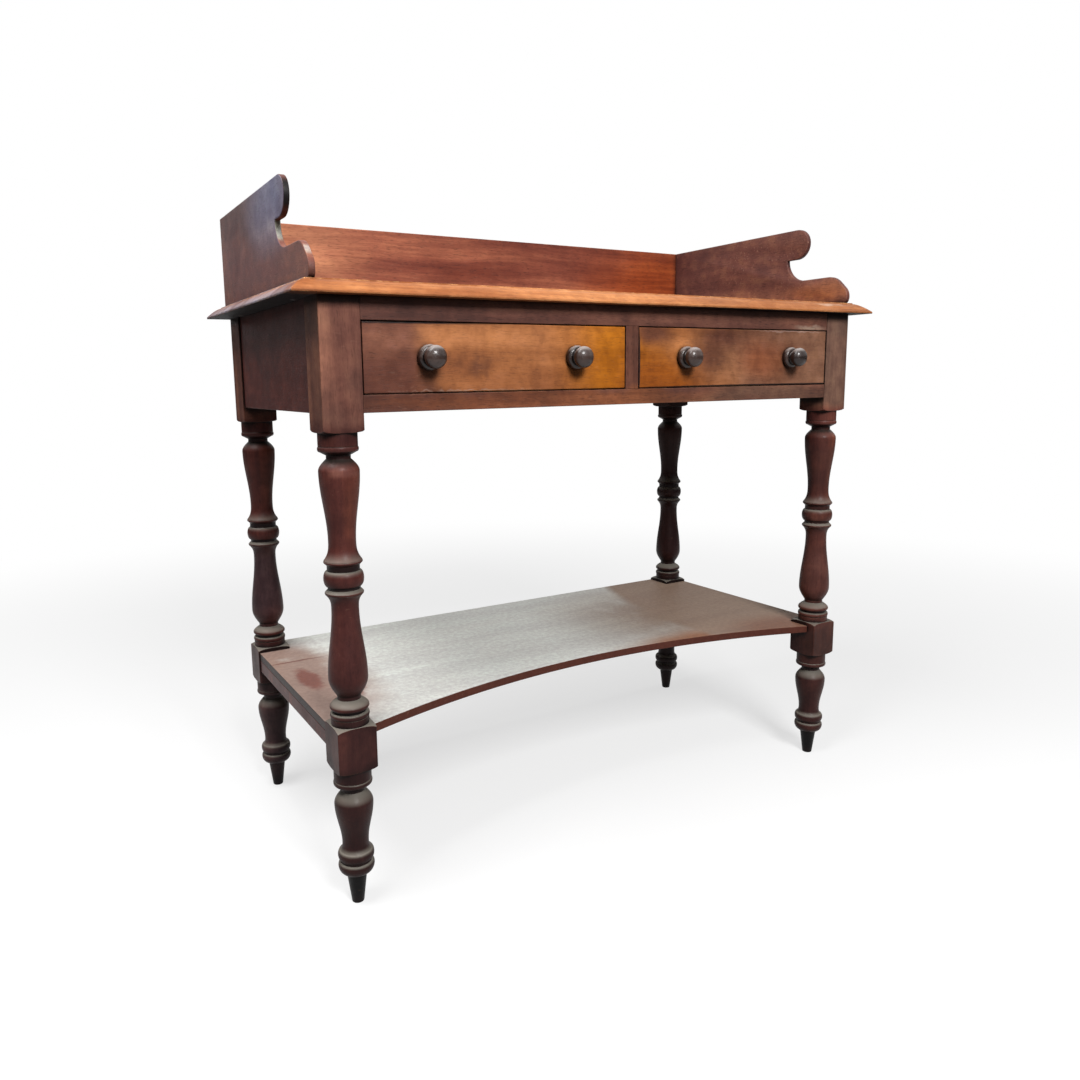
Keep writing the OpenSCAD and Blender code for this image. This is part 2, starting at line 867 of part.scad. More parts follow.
module shelf_rail(side) {
    color(mid_wood) on_side(side) difference() {
        union() {
            box(
                [-shelf_half_w, -shelf_half_w + shelf_rail_t],
                [leg_in_front, leg_in_back],
                [shelf_rail_z, shelf_low]
            );
            shelf_tenons();
        }
        shelf_screw_set(fit);
    }
}

// ---- Drawers, drawn about their own middle in X ----

// A row of dovetails in Y and Z that widen from y0 to y1
module tail_row(y0, y1, z0, z1) {
    pitch = (z1 - z0) / tail_count;
    spread = abs(y1 - y0) * tail_slope;
    for (i = [0:tail_count - 1]) {
        z = z0 + pitch * (i + 0.5);
        polygon([
            [y0, z - pitch / 4],
            [y1, z - pitch / 4 - spread],
            [y1, z + pitch / 4 + spread],
            [y0, z + pitch / 4]
        ]);
    }
}

// Dovetails of one drawer side into the front and round the back
module front_tails() {
    tail_row(front_rear, rail_y + lap, front_z, side_top);
}

module back_tails() {
    tail_row(drawer_rear - side_t, drawer_rear, bottom_top, back_top);
}

// Groove round the inside that carries the bottom, and the bottom itself
module bottom_panel(grow = 0) {
    x = half_in + groove_d - fit + grow;
    box(
        [-x, x],
        [front_rear - groove_d + fit - grow, drawer_rear],
        [groove_z - grow, groove_z + bottom_t + grow]
    );
}

module drawer_front() {
    color(warm_wood) difference() {
        box([-drawer_w / 2, drawer_w / 2], [rail_y, front_rear], [front_z, front_top]);
        for (side = [-1, 1]) on_side(side) along_x(-drawer_w / 2 - over, -half_in) front_tails();
        bottom_panel(fit);
        for (x = [-1, 1])
            translate([x * knob_span / 2, front_rear + over, knob_z])
                rotate([90, 0, 0])
                    cylinder(h = front_t + 2 * over, r = spigot_r + fit);
    }
}

module drawer_side(side) {
    color(pale_wood) on_side(side) difference() {
        along_x(-drawer_w / 2, -half_in) difference() {
            translate([rail_y + lap, side_z])
                square([drawer_rear - rail_y - lap, side_top - side_z]);
            difference() {
                translate([rail_y, side_z - over])
                    square([front_t, side_top - side_z + 2 * over]);
                front_tails();
            }
            difference() {
                translate([drawer_rear - side_t, bottom_top])
                    square([side_t + over, back_top - bottom_top]);
                back_tails();
            }
        }
        bottom_panel(fit);
    }
}

module drawer_back() {
    color(pale_wood) difference() {
        box(
            [-drawer_w / 2, drawer_w / 2],
            [drawer_rear - side_t, drawer_rear],
            [bottom_top, back_top]
        );
        for (side = [-1, 1]) on_side(side) along_x(-drawer_w / 2 - over, -half_in) back_tails();
        bottom_screw_set(fit);
    }
}

module drawer_bottom() {
    color(pale_wood) difference() {
        bottom_panel();
        bottom_screw_set(fit);
    }
}

// Screws up through the bottom into the drawer back
module bottom_screw_set(grow = 0) {
    for (x = [-stop_x, stop_x])
        translate([x, drawer_rear - side_t / 2, 0])
            screw(groove_z, bottom_t + fit + screw_bite, grow);
}

module drawer_bottom_screws() {
    color(steel) bottom_screw_set();
}

// Turned knob with its axis on Z, standing on its flange; the spigot points down
module knob() {
    bulb_z = flange_t + knob_neck_l + bulb_back;
    rotate_extrude() polygon(concat(
        [[0, -front_t], [spigot_r, -front_t], [spigot_r, 0]],
        arc([flange_r - flange_round, flange_t / 2], flange_round, flange_t / 2, -90, 90),
        [[knob_neck_r, flange_t]],
        arc(
            [knob_neck_r, bulb_z],
            bulb_r - knob_neck_r, bulb_back,
            -90, 0
        ),
        arc([0, bulb_z], bulb_r, knob_out - bulb_z, 0, 90)
    ));
}

module drawer_knobs() {
    color(knob_wood)
        for (x = [-1, 1])
            translate([x * knob_span / 2, rail_y, knob_z]) rotate([90, 0, 0]) knob();
}

// Puts a drawer piece in the left or the right opening; mirrored, so that a
// piece drawn on the left is the outer one in both
module in_drawer(side) {
    on_side(side) translate([-drawer_x, 0, 0]) children();
}

leg_front(-1);  // leg_front_left
leg_front(1);  // leg_front_right
leg_back(-1);  // leg_back_left
leg_back(1);  // leg_back_right
apron(-1);  // apron_left
apron(1);  // apron_right
apron_back();
front_top_rail();
front_bottom_rail();
centre_stile();
runner_side(-1);  // runner_left
runner_side(1);  // runner_right
runner_centre();
guide_side(-1);  // guide_left
guide_side(1);  // guide_right
guide_centre();
kicker_side(-1);  // kicker_left
kicker_side(1);  // kicker_right
kicker_centre();
drawer_stops();
top_board();
gallery_side(-1);  // gallery_left
gallery_side(1);  // gallery_right
gallery_back();
gallery_screws();
top_screws();
glue_blocks();
shelf();
shelf_rail(-1);  // shelf_rail_left
shelf_rail(1);  // shelf_rail_right
shelf_screws();
in_drawer(-1) drawer_front();  // drawer_left_front
in_drawer(-1) drawer_side(-1);  // drawer_left_outer_side
in_drawer(-1) drawer_side(1);  // drawer_left_inner_side
in_drawer(-1) drawer_back();  // drawer_left_back
in_drawer(-1) drawer_bottom();  // drawer_left_bottom
in_drawer(-1) drawer_bottom_screws();  // drawer_left_bottom_screws
in_drawer(-1) drawer_knobs();  // drawer_left_knobs
in_drawer(1) drawer_front();  // drawer_right_front
in_drawer(1) drawer_side(-1);  // drawer_right_outer_side
in_drawer(1) drawer_side(1);  // drawer_right_inner_side
in_drawer(1) drawer_back();  // drawer_right_back
in_drawer(1) drawer_bottom();  // drawer_right_bottom
in_drawer(1) drawer_bottom_screws();  // drawer_right_bottom_screws
in_drawer(1) drawer_knobs();  // drawer_right_knobs
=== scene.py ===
# Washstand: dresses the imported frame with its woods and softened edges, in a plain studio
import math

import bmesh
import bpy
from mathutils import Matrix, Vector


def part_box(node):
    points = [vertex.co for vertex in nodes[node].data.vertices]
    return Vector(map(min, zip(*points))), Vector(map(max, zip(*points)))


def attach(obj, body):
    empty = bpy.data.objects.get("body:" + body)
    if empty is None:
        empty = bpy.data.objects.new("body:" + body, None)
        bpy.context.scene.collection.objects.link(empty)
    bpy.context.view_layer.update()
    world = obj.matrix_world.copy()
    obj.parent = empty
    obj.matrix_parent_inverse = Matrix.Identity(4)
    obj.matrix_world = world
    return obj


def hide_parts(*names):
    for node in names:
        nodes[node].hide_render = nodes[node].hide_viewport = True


print("stage: frame")
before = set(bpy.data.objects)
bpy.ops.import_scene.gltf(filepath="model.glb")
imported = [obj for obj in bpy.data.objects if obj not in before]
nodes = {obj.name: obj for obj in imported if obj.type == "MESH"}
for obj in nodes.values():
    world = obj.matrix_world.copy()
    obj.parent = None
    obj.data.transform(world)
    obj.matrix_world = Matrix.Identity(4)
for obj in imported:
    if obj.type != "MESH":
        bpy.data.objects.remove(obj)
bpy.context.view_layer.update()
bpy.ops.object.select_all(action="DESELECT")
scene = bpy.context.scene
scene.view_settings.view_transform = "Standard"
mm = 0.001

# Camera at the photograph's place, fitted for a 1080 x 1080 picture
photoCamera = {
    "place": (-0.7192, -1.0907, 0.6311), "yaw": -29.975, "pitch": -8.936, "roll": 0.859,
    "focalPixels": 846.73, "centrePixel": (504.1, 513.2), "picture": 1080, "sensor": 36,
}


def addCamera(look):
    turn = (
        Matrix.Rotation(math.radians(look["yaw"]), 3, "Z")
        @ Matrix.Rotation(math.radians(look["pitch"]), 3, "X")
        @ Matrix.Rotation(math.radians(look["roll"]), 3, "Y")
    )
    bpy.ops.object.camera_add()
    camera = bpy.context.object
    camera.name = "photoCamera"
    place = Matrix((turn.col[0], turn.col[2], -turn.col[1])).transposed().to_4x4()
    place.translation = Vector(look["place"])
    camera.matrix_world = place
    size = look["picture"]
    camera.data.sensor_width = look["sensor"]
    camera.data.lens = look["focalPixels"] / size * look["sensor"]
    camera.data.shift_x = (size / 2 - look["centrePixel"][0]) / size
    camera.data.shift_y = (look["centrePixel"][1] - size / 2) / size
    camera.data.clip_start = 0.01
    scene.camera = camera


addCamera(photoCamera)


# Short ways to build a node tree
def rgb(*levels):
    return tuple(((c / 255 + 0.055) / 1.055) ** 2.4 for c in levels) + (1,)


def addNode(tree, kind, inputs, **settings):
    made = tree.nodes.new("ShaderNode" + kind)
    for setting, value in settings.items():
        setattr(made, setting, value)
    for socket, value in inputs.items():
        if isinstance(value, bpy.types.NodeSocket):
            tree.links.new(value, made.inputs[socket])
        else:
            made.inputs[socket].default_value = value
    return made


def calc(tree, operation, first, second=0.0):
    return addNode(tree, "Math", {0: first, 1: second}, operation=operation).outputs[0]


def times(tree, first, second):
    return calc(tree, "MULTIPLY", first, second)


def vector(tree, operation, first, second):
    socket = 3 if operation == "SCALE" else 1
    return addNode(tree, "VectorMath", {0: first, socket: second}, operation=operation).outputs[0]


def measure(tree, operation, first, second=(0, 0, 0)):
    return addNode(tree, "VectorMath", {0: first, 1: second}, operation=operation).outputs[1]


def upPart(tree, value):
    return addNode(tree, "SeparateXYZ", {0: value}).outputs[2]


def span(tree, value, low, high, start=0.0, end=1.0):
    inputs = {"Value": value, "From Min": low, "From Max": high, "To Min": start, "To Max": end}
    return addNode(tree, "MapRange", inputs, interpolation_type="SMOOTHSTEP").outputs[0]


def blend(tree, amount, below, above, how="MIX"):
    inputs = {0: amount, 6: below, 7: above}
    return addNode(tree, "Mix", inputs, data_type="RGBA", blend_type=how).outputs[2]


def noise(tree, place, stretch, detail=3.0, roughness=0.5, turn=(0, 0, 0)):
    laid = addNode(tree, "Mapping", {"Vector": place, "Scale": stretch, "Rotation": turn})
    inputs = {"Vector": laid.outputs[0], "Scale": 1.0, "Detail": detail, "Roughness": roughness}
    return addNode(tree, "TexNoise", inputs).outputs[0]


def drift(tree, place, scale, detail, reach):  # shifts a place a little, at random
    wobble = addNode(tree, "TexNoise", {"Vector": place, "Scale": scale, "Detail": detail})
    centred = vector(tree, "SUBTRACT", wobble.outputs[1], (0.5, 0.5, 0.5))
    return vector(tree, "ADD", place, vector(tree, "SCALE", centred, reach))


# Lamps, world, floor and a low dark curtain round the set that keeps the shine off the sides
white = (1, 1, 1, 1)
studio = {
    "keyPlace": (-0.3, -2.4, 2.15), "keySize": 0.9, "keyPower": 88,
    "topPlace": (-1.1, -0.2, 2.4), "topSize": 1.2, "topPower": 50, "aim": (0, 0, 0.45),
    "ambient": 0.16, "floorSize": 40, "floorColour": (0.08, 0.08, 0.08, 1),
    "floorShown": (0.9, 0.9, 0.9, 1), "floorLift": 0.66, "floorFade": (0.9, 2.6),
    "curtainRadius": 3.2, "curtainHeight": 1.05, "curtainColour": (0.03, 0.03, 0.03, 1),
}


def addLamp(name, look):
    place = look[name + "Place"]
    bpy.ops.object.light_add(type="AREA", location=place)
    lamp = bpy.context.object
    lamp.name = name + "Lamp"
    lamp.data.size = look[name + "Size"]
    lamp.data.energy = look[name + "Power"]
    toAim = Vector(look["aim"]) - Vector(place)
    lamp.rotation_euler = toAim.to_track_quat("-Z", "Y").to_euler()


def shownRay(tree):
    path = addNode(tree, "LightPath", {})
    direct = calc(tree, "MAXIMUM", path.outputs["Is Camera Ray"], path.outputs["Is Glossy Ray"])
    return calc(tree, "MAXIMUM", direct, path.outputs["Is Transmission Ray"])


def mixShaders(tree, amount, below, above):
    return addNode(tree, "MixShader", {0: amount, 1: below.outputs[0], 2: above.outputs[0]})


def makeWorld(look):
    world = bpy.data.worlds.new("studio")
    scene.world = world
    world.use_nodes = True
    tree = world.node_tree
    tree.nodes.clear()
    dim = addNode(tree, "Background", {"Color": white, "Strength": look["ambient"]})
    bright = addNode(tree, "Background", {"Color": white, "Strength": 1.0})
    mixed = mixShaders(tree, shownRay(tree), dim, bright)
    addNode(tree, "OutputWorld", {"Surface": mixed.outputs[0]})


def makeFloor(look):
    bpy.ops.mesh.primitive_plane_add(size=look["floorSize"])
    floor = bpy.context.object
    floor.name = "floor"
    paint = bpy.data.materials.new("floor_paint")
    paint.use_nodes = True
    tree = paint.node_tree
    tree.nodes.clear()
    away = measure(tree, "LENGTH", addNode(tree, "TexCoord", {}).outputs["Object"])
    lift = span(tree, away, *look["floorFade"], look["floorLift"], 1.0)
    plain = addNode(tree, "BsdfDiffuse", {"Color": look["floorColour"]})
    pale = addNode(tree, "BsdfDiffuse", {"Color": look["floorShown"]})
    bright = addNode(tree, "Emission", {"Color": white, "Strength": 1.0})
    shown = mixShaders(tree, lift, pale, bright)
    under = addNode(tree, "NewGeometry", {}).outputs["Backfacing"]  # seen through from below
    shown = mixShaders(tree, under, shown, addNode(tree, "BsdfTransparent", {}))
    mixed = mixShaders(tree, shownRay(tree), plain, shown)
    addNode(tree, "OutputMaterial", {"Surface": mixed.outputs[0]})
    floor.data.materials.append(paint)


def makeCurtain(look):
    bpy.ops.mesh.primitive_cylinder_add(
        vertices=64, radius=look["curtainRadius"], depth=look["curtainHeight"],
        location=(0, 0, look["curtainHeight"] / 2), end_fill_type="NOTHING",
    )
    curtain = bpy.context.object
    curtain.name = "dark_curtain"
    curtain.visible_camera = False
    curtain.visible_shadow = False
    cloth = bpy.data.materials.new("dark_cloth")
    cloth.use_nodes = True
    shader = cloth.node_tree.nodes["Principled BSDF"]
    shader.inputs["Base Color"].default_value = look["curtainColour"]
    shader.inputs["Roughness"].default_value = 1
    curtain.data.materials.append(cloth)


print("stage: studio")
addLamp("key", studio)
addLamp("top", studio)
makeWorld(studio)
makeFloor(studio)
makeCurtain(studio)

print("stage: materials")

# Turns that lay the grain along X for the patterns
grainTurn = {"X": (0, 0, 0), "Y": (0, 0, math.radians(-90)), "Z": (0, math.radians(90), 0)}


# A place where the wood has another ground colour: its middle, how far it reaches each way in
# metres, and if given the direction that its faces look in
def patch(at, size, colour, amount=1.0, soft=0.6, ragged=0.05, grainy=12.0, facing=None):
    return {
        "at": at, "size": size, "colour": colour, "amount": amount, "soft": soft,
        "ragged": ragged, "grainy": grainy, "facing": facing,
    }


# Values of a pattern between which it comes in
limits = {
    "figure": (0.36, 0.64), "ribbon": (-0.6, 1.0), "streak": (0.35, 0.65), "pore": (0.56, 0.7),
    "mottleDark": (0.36, 0.54), "mottleLight": (0.5, 0.66), "patina": (0.42, 0.66),
    "scuff": (0.63, 0.74), "scuffFade": (0.44, 0.56), "facing": (0.5, 0.9),
    "bend": (0.985, 0.9), "open": (0.6, 0.9), "wornBreak": (0.42, 0.62),
    "nickChosen": (0.90, 0.96), "nickSize": (0.11, 0.04), "dustAndSheenFade": (0.25, 0.5), "dull": (0, 1.2),
    "rust": (0.45, 0.62), "rustRough": (0.4, 0.65),
}


def patchMask(tree, place, spot):
    moved = drift(tree, place, spot["grainy"], 4.0, spot["ragged"])
    moved = vector(tree, "SUBTRACT", moved, spot["at"])
    moved = vector(tree, "DIVIDE", moved, spot["size"])
    away = measure(tree, "LENGTH", moved)
    mask = span(tree, away, 1.0, 1.0 - spot["soft"], 0.0, spot["amount"])
    if spot["facing"]:
        normal = addNode(tree, "TexCoord", {}).outputs["Normal"]
        turned = measure(tree, "DOT_PRODUCT", normal, spot["facing"])
        mask = times(tree, mask, span(tree, turned, *limits["facing"]))
    return mask


def over(colour, base):  # one colour as a share of another
    return tuple(a / b for a, b in zip(colour[:3], base[:3])) + (1,)


plainWood = {
    "along": "X", "wander": 0.02, "wanderScale": 4.0,
    "dark": rgb(60, 34, 32), "mid": rgb(96, 60, 50), "light": rgb(128, 84, 66),
    "figure": (1.3, 13, 13), "figureMix": 1.0, "bands": 26, "bandMix": 0.35,
    "streak": (6, 170, 170), "streakMix": 0.35, "pore": (95, 1500, 1500), "poreMix": 0.45,
    "mottleScale": 42, "mottleMix": 0.45,
    "patina": rgb(50, 32, 32), "patinaScale": 11, "patinaMix": 0.45,
    "scuff": (90, 520, 300), "scuffTurn": (0.4, 0.9, 0.3), "scuffMix": 0.1,
    "worn": rgb(170, 118, 88), "wornReach": 1.6 * mm, "wornScale": 70, "wornMix": 0.5,
    "nick": rgb(170, 130, 108), "nickScale": 55, "nickMix": 0.35,
    "grimeAndShade": rgb(18, 11, 11), "grimeAndShadeReach": 16 * mm, "grimeAndShadeFrom": 0.85, "grimeAndShadeTo": 0.35, "grimeAndShadeMix": 0.8,
    "dustAndSheen": rgb(128, 118, 110), "dustAndSheenFrom": 0.15, "dustAndSheenTo": 0.85, "dustAndSheenMix": 0.0, "dustAndSheenTop": None,
    "rough": (0.45, 0.62), "specular": 0.15, "coat": 0.03, "coatRough": 0.3,
    "bump": 0.25, "bumpDeep": 0.6 * mm, "streakHigh": 0.4, "nickDeep": 1.5, "waveHigh": 3.0,
    "waveScale": 28, "streakDull": 0.4,
    "patches": [],
}


def makeWood(name, changes):
    look = {**plainWood, **changes}
    material = bpy.data.materials.new(name)
    material.use_nodes = True
    tree = material.node_tree
    shader = tree.nodes["Principled BSDF"]
    place = addNode(tree, "TexCoord", {}).outputs["Object"]
    laid = addNode(tree, "Mapping", {"Vector": place, "Rotation": grainTurn[look["along"]]})
    along = drift(tree, laid.outputs[0], look["wanderScale"], 2.0, look["wander"])

    # The ground colour of each place
    colour = look["mid"]
    for spot in look["patches"]:
        colour = blend(tree, patchMask(tree, place, spot), colour, spot["colour"])

    # Figure, ribbon bands, streaks and open pores, all stretched along the grain
    figure = noise(tree, along, look["figure"], 3)
    ribbon = calc(tree, "SINE", times(tree, figure, look["bands"]))
    streak = noise(tree, along, look["streak"], 4, 0.6)
    pores = span(tree, noise(tree, along, look["pore"], 1), *limits["pore"])
    mottle = noise(tree, place, (look["mottleScale"],) * 3, 4, 0.62)
    darker, lighter = over(look["dark"], look["mid"]), over(look["light"], look["mid"])
    layers = (
        (span(tree, figure, *limits["figure"], look["figureMix"], 0), darker),
        (span(tree, ribbon, *limits["ribbon"], 0, look["bandMix"]), lighter),
        (span(tree, streak, *limits["streak"], look["streakMix"], 0), darker),
        (span(tree, mottle, *limits["mottleDark"], look["mottleMix"], 0), darker),
        (span(tree, mottle, *limits["mottleLight"], 0, look["mottleMix"]), lighter),
    )
    for amount, tint in layers:
        colour = blend(tree, amount, colour, tint, "MULTIPLY")
    colour = blend(tree, times(tree, pores, look["poreMix"]), colour, look["grimeAndShade"])

    # Uneven patina and pale scuffs
    patina = noise(tree, place, (look["patinaScale"],) * 3, 5, 0.55)
    patinaMask = span(tree, patina, *limits["patina"], 0, look["patinaMix"])
    colour = blend(tree, patinaMask, colour, over(look["patina"], look["mid"]), "MULTIPLY")
    scuff = noise(tree, place, look["scuff"], 2, 0.5, look["scuffTurn"])
    scuff = span(tree, scuff, *limits["scuff"])
    scuff = times(tree, scuff, span(tree, patina, *limits["scuffFade"], look["scuffMix"], 0))
    colour = blend(tree, scuff, colour, look["nick"])

    # Worn arrises, small nicks, dirt and painted shade in the corners, and dust and a painted sheen on
    # what faces up
    soft = addNode(tree, "Bevel", {"Radius": look["wornReach"]}, samples=6).outputs[0]
    bent = measure(tree, "DOT_PRODUCT", soft, addNode(tree, "NewGeometry", {}).outputs["True Normal"])
    hollow = addNode(tree, "AmbientOcclusion", {"Distance": look["grimeAndShadeReach"]}, samples=8).outputs[1]
    breakUp = noise(tree, place, (look["wornScale"],) * 3, 4, 0.6)
    breakUp = span(tree, breakUp, *limits["wornBreak"])
    edge = times(tree, span(tree, bent, *limits["bend"]), span(tree, hollow, *limits["open"]))
    edge = times(tree, edge, breakUp)
    colour = blend(tree, times(tree, edge, look["wornMix"]), colour, look["worn"])
    cells = addNode(tree, "TexVoronoi", {"Vector": place, "Scale": look["nickScale"], "Randomness": 1.0})
    chosen = span(tree, cells.outputs["Color"], *limits["nickChosen"])
    nicks = times(tree, span(tree, cells.outputs["Distance"], *limits["nickSize"]), chosen)
    colour = blend(tree, times(tree, nicks, look["nickMix"]), colour, look["nick"])
    # Dirt and painted shade: darker where the surface is hollow or tucked under another part
    grimeAndShadeMask = span(tree, hollow, look["grimeAndShadeFrom"], look["grimeAndShadeTo"], 0, look["grimeAndShadeMix"])
    colour = blend(tree, grimeAndShadeMask, colour, look["grimeAndShade"])
    # Dust and a painted sheen: paler on the faces that look up
    up = upPart(tree, addNode(tree, "TexCoord", {}).outputs["Normal"])
    dustAndSheenFilm = span(tree, up, look["dustAndSheenFrom"], look["dustAndSheenTo"])
    dustAndSheenFilm = times(tree, dustAndSheenFilm, span(tree, patina, *limits["dustAndSheenFade"], 0.6, 1))
    dustAndSheenFilm = times(tree, dustAndSheenFilm, look["dustAndSheenMix"])
    if look["dustAndSheenTop"]:  # most of the dust and painted sheen lies below this height
        dustAndSheenFilm = times(tree, dustAndSheenFilm, span(tree, upPart(tree, place), *look["dustAndSheenTop"]))
    colour = blend(tree, dustAndSheenFilm, colour, look["dustAndSheen"])
    tree.links.new(colour, shader.inputs["Base Color"])

    # Duller where the patina, the dust and painted sheen, or the wear is
    dull = calc(tree, "MAXIMUM", calc(tree, "MAXIMUM", patinaMask, dustAndSheenFilm), edge)
    dull = calc(tree, "ADD", dull, times(tree, streak, look["streakDull"]))
    rough = span(tree, dull, *limits["dull"], *look["rough"])
    tree.links.new(rough, shader.inputs["Roughness"])

    # Streaks, sunk pores and nicks, and the slow waves of an old surface
    height = calc(tree, "SUBTRACT", times(tree, streak, look["streakHigh"]), pores)
    height = calc(tree, "SUBTRACT", height, times(tree, nicks, look["nickDeep"]))
    waves = noise(tree, place, (look["waveScale"],) * 3, 2)
    height = calc(tree, "ADD", height, times(tree, waves, look["waveHigh"]))
    inputs = {"Strength": look["bump"], "Distance": look["bumpDeep"], "Height": height, "Normal": soft}
    tree.links.new(addNode(tree, "Bump", inputs).outputs[0], shader.inputs["Normal"])
    shader.inputs["Specular IOR Level"].default_value = look["specular"]
    shader.inputs["Coat Weight"].default_value = look["coat"]
    shader.inputs["Coat Roughness"].default_value = look["coatRough"]
    return material


# Legs: redder turnings, dust and a painted sheen on the rings, painted shade in the grooves, and black
# toes
far = 9  # no end that way
leftFront, rightFront = (-0.41, -0.19), (0.41, -0.19)


def legBand(z, high, colour, amount, soft, ragged=0.05):  # all round every leg at one height
    return patch((0, 0, z), (far, far, high), colour, amount, soft, ragged)


# Colour of the painted shade in the grooves
shade = rgb(22, 13, 13)
legLook = {
    "along": "Z", "dark": rgb(78, 40, 36), "mid": rgb(112, 62, 53), "light": rgb(134, 78, 64),
    "bandMix": 0.2, "mottleMix": 0.35, "poreMix": 0.25, "scuffMix": 0.06, "nickMix": 0.2, "wornMix": 0.2,
    "grimeAndShadeFrom": 0.96, "grimeAndShadeTo": 0.72, "grimeAndShadeMix": 0.9,
    "dustAndSheen": rgb(138, 132, 122), "dustAndSheenMix": 0.62, "dustAndSheenTop": (0.52, 0.40, 0.1, 1.0),
    "specular": 0.1, "coat": 0.05, "coatRough": 0.22, "rough": (0.4, 0.58),
    "patches": [
        # Painted light on the vase faces turned to the front right
        patch((0, 0, 0.5), (far, far, 0.06), rgb(150, 84, 64), 0.8, 0.6, 0.02, facing=(0.6, -0.8, 0)),
        legBand(0.68, 0.11, rgb(158, 106, 86), 1.0, 0.2),  # upper blocks
        patch((*rightFront, 0.66), (0.1, 0.1, 0.09), rgb(122, 90, 76), 1.0, 0.2),
        patch((*leftFront, 0.531), (0.05, 0.05, 0.008), rgb(176, 116, 98), 0.7, 0.9, 0.004, 30,
              (0, -1, 0.3)),  # painted highlight on the shoulder
        legBand(0.12, 0.16, rgb(68, 39, 35), 0.9, 0.5),  # darker feet
        # Painted shade in the grooves
        legBand(0.42, 0.0045, shade, 0.9, 0.4, 0.001),
        legBand(0.3965, 0.003, shade, 0.9, 0.4, 0.001),
        legBand(0.2475, 0.003, shade, 0.9, 0.4, 0.001),
        patch((*leftFront, 0.205), (0.05, 0.05, 0.03), rgb(106, 62, 54), 0.9, 0.4, 0.02),
        patch((*rightFront, 0.2), (0.05, 0.05, 0.035), rgb(38, 19, 14), 1.0, 0.4, 0.02),
        legBand(0.0, 0.05, rgb(6, 3, 4), 1.0, 0.3, 0.01),  # black toes
        # Painted shade on the back right leg
        patch((0.42, 0.2, 0.4), (0.2, 0.12, 0.6), rgb(42, 24, 23), 0.9, 0.4),
        patch((*rightFront, 0.36), (0.1, 0.1, 0.24), rgb(88, 50, 42), 0.7, 0.4),
        patch((-0.41, 0.2, 0.1), (0.1, 0.1, 0.1), rgb(102, 76, 74), 0.8, 0.5),
        patch((0, -0.19, 0.33), (0.6, 0.1, 0.07), rgb(96, 72, 68), 0.6, 0.8),
        patch((-0.41, 0.2, 0.33), (0.1, 0.1, 0.08), rgb(102, 80, 78), 0.8, 0.6),
    ],
}
shelfRailLook = {**legLook, "along": "Y", "mid": rgb(70, 38, 34), "dustAndSheenMix": 0.1, "patches": []}

# Frieze: brown rails, a paler bruise near the right end, a redder stile and dark aprons
railLook = {
    "dark": rgb(88, 54, 46), "mid": rgb(124, 80, 66), "light": rgb(144, 96, 76), "mottleMix": 0.35,
    "patches": [
        patch((-0.1, -0.19, 0.607), (0.4, 0.1, 0.02), rgb(144, 86, 58), 1.0, 0.6),
        patch((0.27, -0.19, 0.607), (0.25, 0.1, 0.02), rgb(122, 86, 70), 1.0, 0.8),
        patch((0.34, -0.19, 0.702), (0.045, 0.1, 0.006), rgb(190, 162, 142), 0.7, 0.9, 0.012, 90),
    ],
}
stileLook = {
    **railLook, "along": "Z",
    "dark": rgb(76, 44, 34), "mid": rgb(106, 65, 52), "light": rgb(124, 80, 64),
}
apronLook = {"along": "Y", "dark": rgb(64, 32, 30), "mid": rgb(92, 50, 46), "light": rgb(112, 62, 54)}


# Drawer fronts: brown at the outer ends and amber in the middle, with painted shade along the gaps
def frontPatch(x, z, wide, high, colour, amount, soft, ragged=0.05, grainy=12.0):
    return patch((x, -0.19, z), (wide, 0.3, high), colour, amount, soft, ragged, grainy)


def gapShade(x, z, wide, high, colour, soft):  # painted shade on only the arris of the front, 4 mm deep
    return patch((x, -0.19, z), (wide, 0.004, high), colour, 1.0, soft, 0.0)


